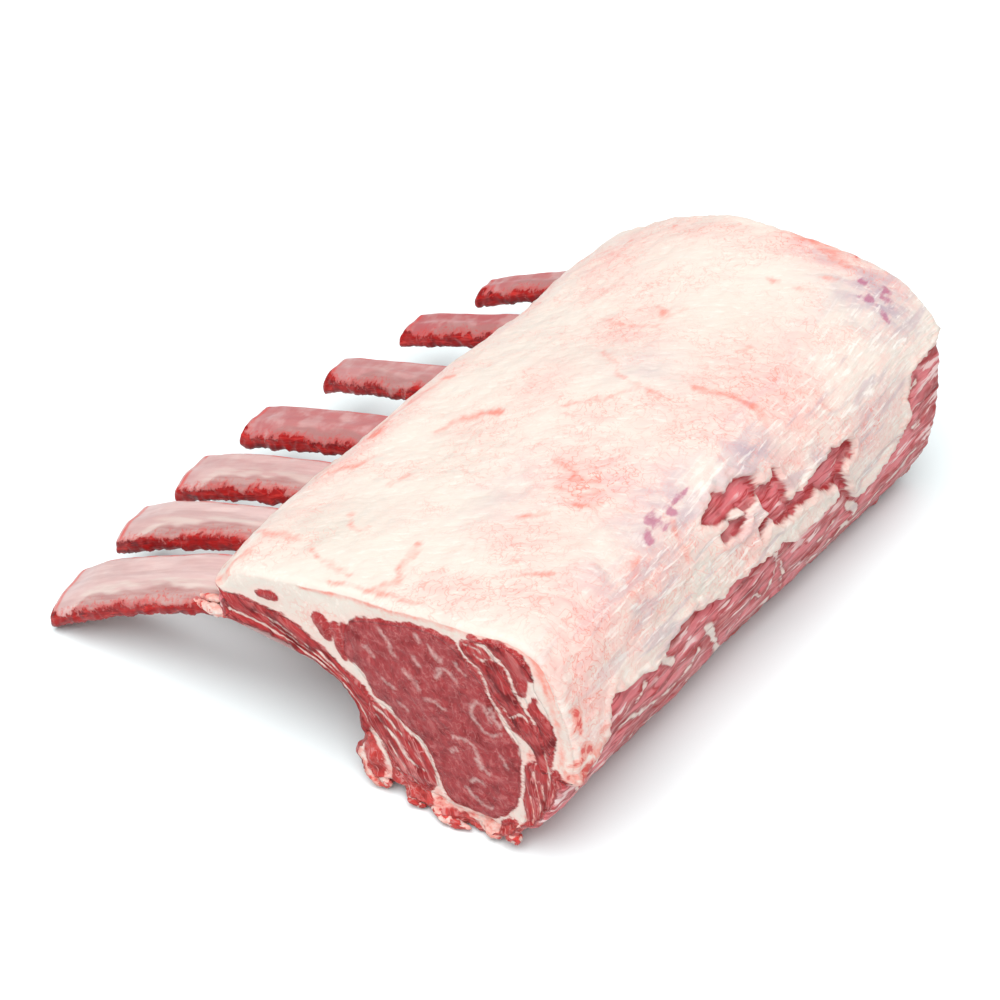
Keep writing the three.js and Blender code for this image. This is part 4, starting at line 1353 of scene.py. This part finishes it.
def new_group(name, inputs, outputs):
    """An empty node group, its tree and the sockets inside it. Inputs and outputs are {label: kind}."""
    tree = bpy.data.node_groups.new(name, "ShaderNodeTree")
    for label, kind in inputs.items():
        tree.interface.new_socket(label, in_out="INPUT", socket_type=SOCKETS[kind])
    for label, kind in outputs.items():
        tree.interface.new_socket(label, in_out="OUTPUT", socket_type=SOCKETS[kind])
    given = tree.nodes.new("NodeGroupInput").outputs
    result = tree.nodes.new("NodeGroupOutput").inputs
    return tree, given, result


def place_group(tree, group, inputs):
    node = tree.nodes.new("ShaderNodeGroup")
    node.node_tree = group
    for key, value in inputs.items():
        feed(tree, node.inputs[key], value)
    return node


@lru_cache(maxsize=1)
def ragged_edge():
    """Turns a depth in mm into a mask with a ragged edge."""
    tree, given, result = new_group(
        "Ragged Edge",
        {"Place": "place", "Depth": "value", "Grain": "value", "Raggedness": "value", "Softness": "value"},
        {"Mask": "value"})
    moved = moved_by(tree, "MULTIPLY", given["Place"], EDGE_STRETCH)
    shaken = add_node(tree, "TexNoise", {"Vector": moved, "Scale": given["Grain"], "Detail": 3.0})
    wander = times(tree, minus(tree, shaken.outputs[0], 0.5), times(tree, given["Raggedness"], 2.0))
    depth = plus(tree, given["Depth"], wander)
    low = times(tree, given["Softness"], -1.0)
    feed(tree, result["Mask"], ranged(tree, depth, low, given["Softness"]))
    return tree


def edge_mask(tree, place, depth, size, raggedness, softness):
    """The mask of a mark, with an edge that is ragged and soft by the given depths in mm."""
    node = place_group(tree, ragged_edge(), {
        "Place": place, "Depth": depth, "Grain": size, "Raggedness": raggedness, "Softness": softness})
    return node.outputs["Mask"]


@lru_cache(maxsize=1)
def fat_tone():
    """The colour of fat: cream, with pink and lilac areas, fine threads, streaks and torn red meat."""
    tree, given, result = new_group(
        "Fat Tone",
        {"Place": "place", "Flow": "place", "Cream": "colour", "Pink": "colour", "Lilac": "colour",
         "Salmon": "colour", "Ivory": "colour", "Red": "colour", "Pinkness": "value",
         "Lilacness": "value", "Creaminess": "value", "Salmon Depth": "value", "Rawness": "value",
         "Fibres": "value"},
        {"Color": "colour", "Height": "value"})
    shaken = warped(tree, given["Place"], FAT_SHAKE, FAT_SHAKE_BY)
    broad = grain(tree, shaken, FAT_BROAD, (1.8, 1, 1), 3, FAT_TURN)
    middling = grain(tree, shaken, FAT_MIDDLING, (2.2, 1, 1.4), 3, FAT_TURN)
    fine = grain(tree, given["Place"], FAT_FINE, (3, 1, 1.5), 3, FAT_TURN)
    colour = fat_areas(tree, given, broad, middling)
    colour = fat_threads(tree, given, colour, shaken, broad)
    colour = mixed(tree, ranged(tree, fine, 0.44, 0.3, 0, 0.3), colour, FAT_GLEAM)
    edge = edge_mask(tree, given["Place"], given["Salmon Depth"], 0.9, 1.3, 1.1)
    streak = times(tree, edge, ranged(tree, middling, 0.35, 0.65, 0.35, 0.85))
    colour = mixed(tree, streak, colour, given["Salmon"])
    colour = fat_fibres(tree, given, colour)
    colour = torn_fat(tree, given, colour, shaken)
    feed(tree, result["Color"], colour)

    slow = grain(tree, given["Place"], FAT_MIDDLING, (2.2, 1, 1.4), 1, FAT_TURN)
    ridges = grain(tree, given["Flow"], FIBRE_THREAD, detail=2)
    height = plus(tree, times(tree, fine, 0.3), times(tree, slow, 0.9))
    feed(tree, result["Height"], minus(tree, height, times(tree, ridges, given["Fibres"])))
    return tree


def fat_areas(tree, given, broad, middling):
    """Cream fat with its soft pink, ivory and lilac areas."""
    pinkness = plus(tree, given["Pinkness"], ranged(tree, broad, 0.45, 0.75, 0, 0.3))
    pinkness = times(tree, pinkness, ranged(tree, middling, 0.3, 0.7, 0.45, 1.3), clamp=True)
    colour = mixed(tree, pinkness, given["Cream"], given["Pink"])
    ivory = times(tree, given["Creaminess"], ranged(tree, middling, 0.3, 0.6, 0.6, 1.0), clamp=True)
    colour = mixed(tree, ivory, colour, given["Ivory"])
    lilac = times(tree, given["Lilacness"], ranged(tree, middling, 0.32, 0.68, 0.35, 1.1), clamp=True)
    return mixed(tree, lilac, colour, given["Lilac"])


def fat_threads(tree, given, colour, shaken, broad):
    """Thin curling salmon lines, most of them where the fat is pink."""
    strength = plus(tree, times(tree, given["Pinkness"], 0.55), ranged(tree, broad, 0.45, 0.62, 0, 0.3))
    lines = larger(tree, veins(tree, shaken, 6, 0.014), veins(tree, shaken, 2.6, 0.028))
    return mixed(tree, times(tree, lines, strength, clamp=True), colour, given["Salmon"])


def fat_fibres(tree, given, colour):
    """Pink, silvery and pale fibres that run along the rack."""
    drawn = warped(tree, given["Flow"], FIBRE_SHAKE, FIBRE_SHAKE_BY)
    thread = grain(tree, drawn, FIBRE_THREAD)
    band = grain(tree, drawn, FIBRE_BAND)
    for mask, tone in ((ranged(tree, thread, 0.5, 0.62, 0, 0.34), given["Pink"]),
                       (ranged(tree, band, 0.52, 0.64, 0, 0.5), given["Lilac"]),
                       (ranged(tree, thread, 0.44, 0.36, 0, 0.6), FIBRE_GLEAM)):
        colour = mixed(tree, times(tree, given["Fibres"], mask), colour, tone)
    return colour


def torn_fat(tree, given, colour, shaken):
    """Salmon blushes with red meat in their middle, where the fat is torn."""
    torn = plus(tree, grain(tree, shaken, 2.6, (1.6, 1, 1), 4, FAT_TURN), times(tree, given["Rawness"], 0.2))
    some = ranged(tree, given["Rawness"], 0.05, 0.5)
    colour = mixed(tree, times(tree, ranged(tree, torn, 0.56, 0.72, 0, 0.7), some), colour, given["Salmon"])
    return mixed(tree, times(tree, ranged(tree, torn, 0.72, 0.8, 0, 0.85), some), colour, given["Red"])


@lru_cache(maxsize=1)
def lean_tone():
    """The colour of lean: fibres, pale threads between their bundles and wet dark places."""
    tree, given, result = new_group(
        "Lean Tone",
        {"Place": "place", "Flow": "place", "Flesh": "colour", "Pale": "colour", "Dark": "colour",
         "Pale Amount": "value", "Dark Amount": "value"},
        {"Color": "colour", "Height": "value"})
    flow = warped(tree, given["Flow"], LEAN_SHAKE, LEAN_SHAKE_BY)
    fibre = grain(tree, flow, LEAN_FIBRE, detail=2)
    bundle = grain(tree, flow, LEAN_BUNDLE)
    broad = grain(tree, given["Place"], LEAN_BROAD, (1, 1.6, 1), 3)
    dark = plus(tree, ranged(tree, broad, 0.48, 0.66, 0, 0.8), ranged(tree, bundle, 0.5, 0.34, 0, 0.8))
    pale = times(tree, ranged(tree, bundle, 0.53, 0.66), ranged(tree, broad, 0.66, 0.42, 0.4, 1.0))
    colour = given["Flesh"]
    for mask, amount, tone in ((ranged(tree, fibre, 0.4, 0.7, 0, 0.25), "Pale Amount", "Pale"),
                               (dark, "Dark Amount", "Dark"),
                               (pale, "Pale Amount", "Pale"),
                               (veins(tree, flow, 2.4, 0.02), "Pale Amount", "Pale")):
        colour = mixed(tree, times(tree, mask, given[amount], clamp=True), colour, given[tone])
    feed(tree, result["Color"], colour)
    feed(tree, result["Height"], grain(tree, given["Flow"], LEAN_RELIEF))
    return tree


@lru_cache(maxsize=1)
def wet_film():
    """Patchy wetness: roughness and a thin clear coat."""
    tree, given, result = new_group(
        "Wet Film",
        {"Place": "place", "Patch": "value", "Wet": "value", "Dry": "value", "Coat": "value"},
        {"Roughness": "value", "Coat Weight": "value"})
    spots = add_node(tree, "TexNoise", {"Vector": given["Place"], "Scale": given["Patch"], "Detail": 1.0})
    patch = ranged(tree, spots.outputs[0], 0.35, 0.65)
    span = minus(tree, given["Dry"], given["Wet"])
    feed(tree, result["Roughness"], plus(tree, given["Wet"], times(tree, span, patch)))
    feed(tree, result["Coat Weight"], times(tree, minus(tree, 1.0, patch), given["Coat"]))
    return tree


def new_material(name, subsurface, radius, scale):
    """A material with its Principled shader set for flesh or bone, and its tree."""
    material = bpy.data.materials.new(name)
    material.use_nodes = True
    shader = material.node_tree.nodes["Principled BSDF"]
    shader.subsurface_method = "BURLEY"
    for socket, value in (("Subsurface Weight", subsurface), ("Subsurface Radius", radius),
                          ("Subsurface Scale", scale), ("Specular IOR Level", SPECULAR),
                          ("Coat Roughness", COAT_ROUGHNESS)):
        shader.inputs[socket].default_value = value
    return material, material.node_tree, shader


def finish_shader(tree, shader, colour, roughness, coat, height):
    bump = add_node(tree, "Bump", {"Strength": RELIEF_STRENGTH, "Distance": RELIEF * MM, "Height": height})
    for socket, value in (("Base Color", colour), ("Roughness", roughness), ("Coat Weight", coat),
                          ("Normal", bump.outputs[0])):
        feed(tree, shader.inputs[socket], value)


def fat_of_flesh(tree, place, flow):
    """The fat's group and its colour, with purple spots and a thin reddish margin beside lean."""
    colours = bpy.context.scene.lamb_colours
    fat = place_group(tree, fat_tone(), {
        "Place": place, "Flow": flow, "Cream": colours.cream, "Pink": colours.pink,
        "Lilac": colours.lilac, "Salmon": colours.salmon, "Ivory": colours.ivory, "Red": colours.raw,
        **{label: mark(tree, name) for label, name in FAT_MARKS.items()}})
    spots = edge_mask(tree, place, mark(tree, "purple"), 0.9, 1.1, 0.4)
    return fat, layered(tree, fat.outputs["Color"], (
        (times(tree, spots, 0.7), colours.purple),
        (ranged(tree, mark(tree, "lean"), -2.2, 0.1, 0, 0.4), colours.pink)))


def lean_of_flesh(tree, place, flow, flesh, pale_amount, dark_amount):
    """The lean's group and its colour, with the pale flecks of the loin eye."""
    colours = bpy.context.scene.lamb_colours
    lean = place_group(tree, lean_tone(), {
        "Place": place, "Flow": flow, "Flesh": mixed(tree, mark(tree, "eye"), flesh, colours.eye),
        "Pale": colours.marbling, "Dark": colours.blood, "Pale Amount": pale_amount,
        "Dark Amount": dark_amount})
    flecks = edge_mask(tree, place, mark(tree, "fleck"), 1.3, 0.9, 0.7)
    return lean, mixed(tree, times(tree, flecks, 0.4), lean.outputs["Color"], colours.white)


def veiled(tree, flow, colour):
    """Lean under the thin skin of the outer surface, which pales it but not its edge."""
    colours = bpy.context.scene.lamb_colours
    depth, veil = mark(tree, "lean"), mark(tree, "veil")
    film = times(tree, ranged(tree, depth, 0.2, 1.6, 0.2, 0.68),
                 ranged(tree, grain(tree, flow, 3.5), 0.42, 0.58, 0.2, 1.2))
    drawn = warped(tree, flow, VEIL_SHAKE, VEIL_SHAKE_BY)
    # Thin dark red lines in the rib-fringe colour along the veil's creases: painted crease shade.
    crease_shade = times(tree, veins(tree, drawn, 4, 0.03), 0.75)
    strands = times(tree, ranged(tree, grain(tree, drawn, 1.8), 0.54, 0.6),
                    ranged(tree, depth, 1.5, 5.0, 0.15, 0.9))
    return layered(tree, colour, (
        (times(tree, film, veil), colours.veil),
        (times(tree, crease_shade, veil), colours.fringe),
        (times(tree, strands, veil), colours.strand)))


def flesh_material(name, flesh, pale_amount, dark_amount):
    """Fat and lean in one finish, told apart by the marks of the surface."""
    material, tree, shader = new_material(name, *FLESH_DEPTH)
    place, flow = millimetres(tree), fibre_place(tree)
    fat, fat_colour = fat_of_flesh(tree, place, flow)
    lean, lean_colour = lean_of_flesh(tree, place, flow, flesh, pale_amount, dark_amount)
    bare = edge_mask(tree, flow, mark(tree, "lean"), 1.3, 0.7, 0.3)
    colour = mixed(tree, bare, fat_colour, veiled(tree, flow, lean_colour))
    fat_film = place_group(tree, wet_film(), {"Place": place, **FAT_WET})
    lean_film = place_group(tree, wet_film(), {"Place": place, **LEAN_WET})
    pairs = ((fat_film.outputs["Roughness"], lean_film.outputs["Roughness"]),
             (fat_film.outputs["Coat Weight"], lean_film.outputs["Coat Weight"]),
             (fat.outputs["Height"], lean.outputs["Height"]))
    roughness, coat, height = [
        add_node(tree, "Mix", {0: bare, 2: of_fat, 3: of_lean}).outputs[0] for of_fat, of_lean in pairs]
    finish_shader(tree, shader, colour, roughness, coat, height)
    return material


def bone_tone(tree, flow, streak, patch):
    """Scraped bone: pale streaks, lilac patches, blood under its skin, a painted highlight along its crest
    and painted shade on its lower front side.
    """
    colours = bpy.context.scene.lamb_colours
    red, side, tip = mark(tree, "red"), mark(tree, "side"), mark(tree, "tip")
    pale = times(tree, ranged(tree, streak, 0.45, 0.65, 0.1, 0.7), ranged(tree, tip, 4, 20))
    # A pale ivory band is painted along the rib's crest as a painted highlight. It is weaker on the redder
    # ribs.
    crest = times(tree, ranged(tree, side, -3.4, -1.4), ranged(tree, streak, 0.38, 0.55, 0.1, 0.42))
    # The rib's lower front side is darkened towards the lilac bone colour: painted shade.
    lower = times(tree, ranged(tree, side, -0.7, 0.6, 0, 0.9), ranged(tree, streak, 0.3, 0.6, 1.0, 0.7))
    return layered(tree, colours.bone, (
        (times(tree, pale, 0.5), colours.white),
        (ranged(tree, grain(tree, flow, 3.6), 0.42, 0.62, 0, 0.32), colours.bone_lilac_and_shade),
        (times(tree, red, ranged(tree, patch, 0.35, 0.6, 0.7, 1.15), clamp=True), colours.flush),
        (times(tree, crest, ranged(tree, red, 0.7, 0.1, 0.1, 1)), colours.ivory),
        (lower, colours.bone_lilac_and_shade)))


def bone_blood(tree, place, patch):
    """Where blood shows through: above the fringe, along the back edge and behind the sawn end."""
    meat, tip = mark(tree, "lean"), mark(tree, "tip")
    speckle = times(tree, ranged(tree, grain(tree, place, 0.9, detail=2), 0.54, 0.6, 0, 0.6),
                    ranged(tree, meat, -3.4, -1.0))
    above = larger(tree, ranged(tree, meat, -2.2, 0.2, 0, 0.6), speckle)
    back = times(tree, ranged(tree, mark(tree, "ridge"), 1.3, 0.3),
                 ranged(tree, patch, 0.42, 0.56, 0.25, 0.9))
    end = times(tree, ranged(tree, tip, 0.9, 1.5), ranged(tree, tip, 3.4, 1.8))
    end = times(tree, end, ranged(tree, patch, 0.38, 0.55, 0.2, 0.75))
    return larger(tree, larger(tree, above, back), end)


def rib_material():
    """Scraped bone under a thin skin, with dark meat left along its lower edges."""
    colours = bpy.context.scene.lamb_colours
    material, tree, shader = new_material("rib", *BONE_DEPTH)
    place, flow = millimetres(tree), fibre_place(tree)
    streak, patch = grain(tree, flow, 1.3), grain(tree, place, 6)
    meat = place_group(tree, lean_tone(), {
        "Place": place, "Flow": flow, "Flesh": colours.fringe, "Pale": colours.raw,
        "Dark": colours.blood, "Pale Amount": 0.6, "Dark Amount": 0.7})
    edge = edge_mask(tree, place, mark(tree, "lean"), 1.4, 1.4, 0.5)
    colour = layered(tree, bone_tone(tree, flow, streak, patch), (
        (bone_blood(tree, place, patch), colours.raw),
        (edge, meat.outputs["Color"]),
        (ranged(tree, mark(tree, "marrow"), 1.0, 2.0), meat.outputs["Color"])))
    film = place_group(tree, wet_film(), {"Place": place, **BONE_WET})
    height = plus(tree, times(tree, streak, 0.12), times(tree, edge, meat.outputs["Height"]))
    finish_shader(tree, shader, colour, film.outputs["Roughness"], film.outputs["Coat Weight"], height)
    return material


def floor_material(tone):
    material = bpy.data.materials.new("floor")
    material.use_nodes = True
    shader = material.node_tree.nodes["Principled BSDF"]
    shader.inputs["Base Color"].default_value = (*tone, 1)
    shader.inputs["Roughness"].default_value = 0.9
    return material


# ---- Operators ----

class LAMB_OT_stage(bpy.types.Operator):
    """Set the camera, the lights and the floor"""
    bl_idname = "lamb.stage"
    bl_label = "Set the Stage"

    def execute(self, context):
        stage = context.scene.lamb_stage
        a, e = stage.azimuth, stage.elevation
        back = Vector((math.sin(a) * math.cos(e), -math.cos(a) * math.cos(e), math.sin(e)))
        view = bpy.data.cameras.new("camera")
        view.lens = stage.lens
        view.sensor_width = SENSOR_WIDTH
        view.clip_start = 0.01
        camera = bpy.data.objects.new("camera", view)
        camera.location = Vector(CAMERA_PLACE) * MM + Vector(ORIGIN)
        camera.rotation_euler = back.to_track_quat("Z", "Y").to_euler()
        context.scene.collection.objects.link(camera)
        context.scene.camera = camera

        mesh = bpy.data.meshes.new("floor")
        corners = [(x * FLOOR_HALF, y * FLOOR_HALF, 0) for x, y in ((-1, -1), (1, -1), (1, 1), (-1, 1))]
        mesh.from_pydata(corners, [], [(0, 1, 2, 3)])
        mesh.materials.append(floor_material(stage.floor))
        floor = bpy.data.objects.new("floor", mesh)
        context.scene.collection.objects.link(floor)

        world = bpy.data.worlds.new("room")
        world.use_nodes = True
        world.node_tree.nodes["Background"].inputs["Color"].default_value = (1, 1, 1, 1)
        world.node_tree.nodes["Background"].inputs["Strength"].default_value = stage.sky
        context.scene.world = world
        self.lamp(context, "key", KEY_PLACE, KEY_SIZE, stage.key)
        context.scene.view_settings.view_transform = "Standard"
        context.scene.cycles.max_bounces = LIGHT_BOUNCES
        context.scene.cycles.diffuse_bounces = LIGHT_BOUNCES
        return {"FINISHED"}

    def lamp(self, context, name, place, size, power):
        data = bpy.data.lights.new(name, "AREA")
        data.shape = "SQUARE"
        data.size = size
        data.energy = power
        lamp = bpy.data.objects.new(name, data)
        lamp.location = place
        lamp.rotation_euler = Vector(place).to_track_quat("Z", "Y").to_euler()
        context.scene.collection.objects.link(lamp)


class LAMB_OT_fat_cover(bpy.types.Operator):
    """Add the fat cover with the seams between the muscles"""
    bl_idname = "lamb.fat_cover"
    bl_label = "Fat Cover"

    def execute(self, context):
        side = context.scene.lamb_colours.side
        add_body_piece("fat_cover", FAT, flesh_material("fat", side, 0.6, 0.5))
        return {"FINISHED"}


class LAMB_OT_loin_eye(bpy.types.Operator):
    """Add the loin eye"""
    bl_idname = "lamb.loin_eye"
    bl_label = "Loin Eye"

    def execute(self, context):
        eye = context.scene.lamb_colours.eye
        add_body_piece("eye_of_loin", "loin_eye", flesh_material("eye", eye, 0.35, 0.5))
        return {"FINISHED"}


class LAMB_OT_side_muscles(bpy.types.Operator):
    """Add the smaller muscles, the rib meat and the chine trim"""
    bl_idname = "lamb.side_muscles"
    bl_label = "Side Muscles"

    def execute(self, context):
        colours = context.scene.lamb_colours
        cap = flesh_material("cap", colours.side, 0.34, 1.0)
        side = flesh_material("side", colours.side, 0.85, 0.6)
        for node in ("cap_muscle_inner", "cap_muscle_outer", "rib_meat"):
            add_body_piece(node + "_flesh", node, cap)
        for node in ("chine_side_muscle", "spine_side_muscle"):
            add_body_piece(node + "_flesh", node, side)
        trim = flesh_material("trim", colours.trim, 1.0, 0.45)
        add_body_piece("chine_trim_flesh", "chine_trim", trim)
        return {"FINISHED"}


class LAMB_OT_ribs(bpy.types.Operator):
    """Add the seven ribs"""
    bl_idname = "lamb.ribs"
    bl_label = "Ribs"

    def execute(self, context):
        material = rib_material()
        for k in range(len(RIB_EXIT_Y)):
            rib_piece(k, material)
        return {"FINISHED"}


class LAMB_OT_scraps(bpy.types.Operator):
    """Add the torn scraps at the chine and beside the first rib"""
    bl_idname = "lamb.scraps"
    bl_label = "Scraps"

    def execute(self, context):
        material = flesh_material("scrap", context.scene.lamb_colours.raw, 0.8, 0.35)
        scraps_piece("chine_scraps", CHINE_SCRAPS, material)
        scraps_piece("rib_tags", RIB_TAGS, material)
        return {"FINISHED"}


class LAMB_PT_panel(bpy.types.Panel):
    """Lists the rack's settings and its pieces"""
    bl_idname = "LAMB_PT_panel"
    bl_label = "Rack of Lamb"
    bl_space_type = "VIEW_3D"
    bl_region_type = "UI"
    bl_category = "Lamb"

    def draw(self, context):
        layout = self.layout
        scene = context.scene
        for group in (scene.lamb_sizes, scene.lamb_colours, scene.lamb_stage):
            box = layout.box()
            for prop in group.bl_rna.properties:
                if not prop.is_readonly and prop.identifier != "name":
                    box.prop(group, prop.identifier)
        for operator in OPERATORS:
            layout.operator(operator.bl_idname)


OPERATORS = (LAMB_OT_stage, LAMB_OT_fat_cover, LAMB_OT_loin_eye, LAMB_OT_side_muscles, LAMB_OT_ribs,
             LAMB_OT_scraps)
CLASSES = (LambSizes, LambColours, LambStage, *OPERATORS, LAMB_PT_panel)


def register():
    for cls in CLASSES:
        bpy.utils.register_class(cls)
    bpy.types.Scene.lamb_sizes = PointerProperty(type=LambSizes)
    bpy.types.Scene.lamb_colours = PointerProperty(type=LambColours)
    bpy.types.Scene.lamb_stage = PointerProperty(type=LambStage)


def unregister():
    del bpy.types.Scene.lamb_stage
    del bpy.types.Scene.lamb_colours
    del bpy.types.Scene.lamb_sizes
    for cls in reversed(CLASSES):
        bpy.utils.unregister_class(cls)


def main():
    register()
    bpy.ops.lamb.stage()
    bpy.ops.lamb.fat_cover()
    bpy.ops.lamb.loin_eye()
    bpy.ops.lamb.side_muscles()
    bpy.ops.lamb.ribs()
    bpy.ops.lamb.scraps()


if __name__ == "__main__":
    main()
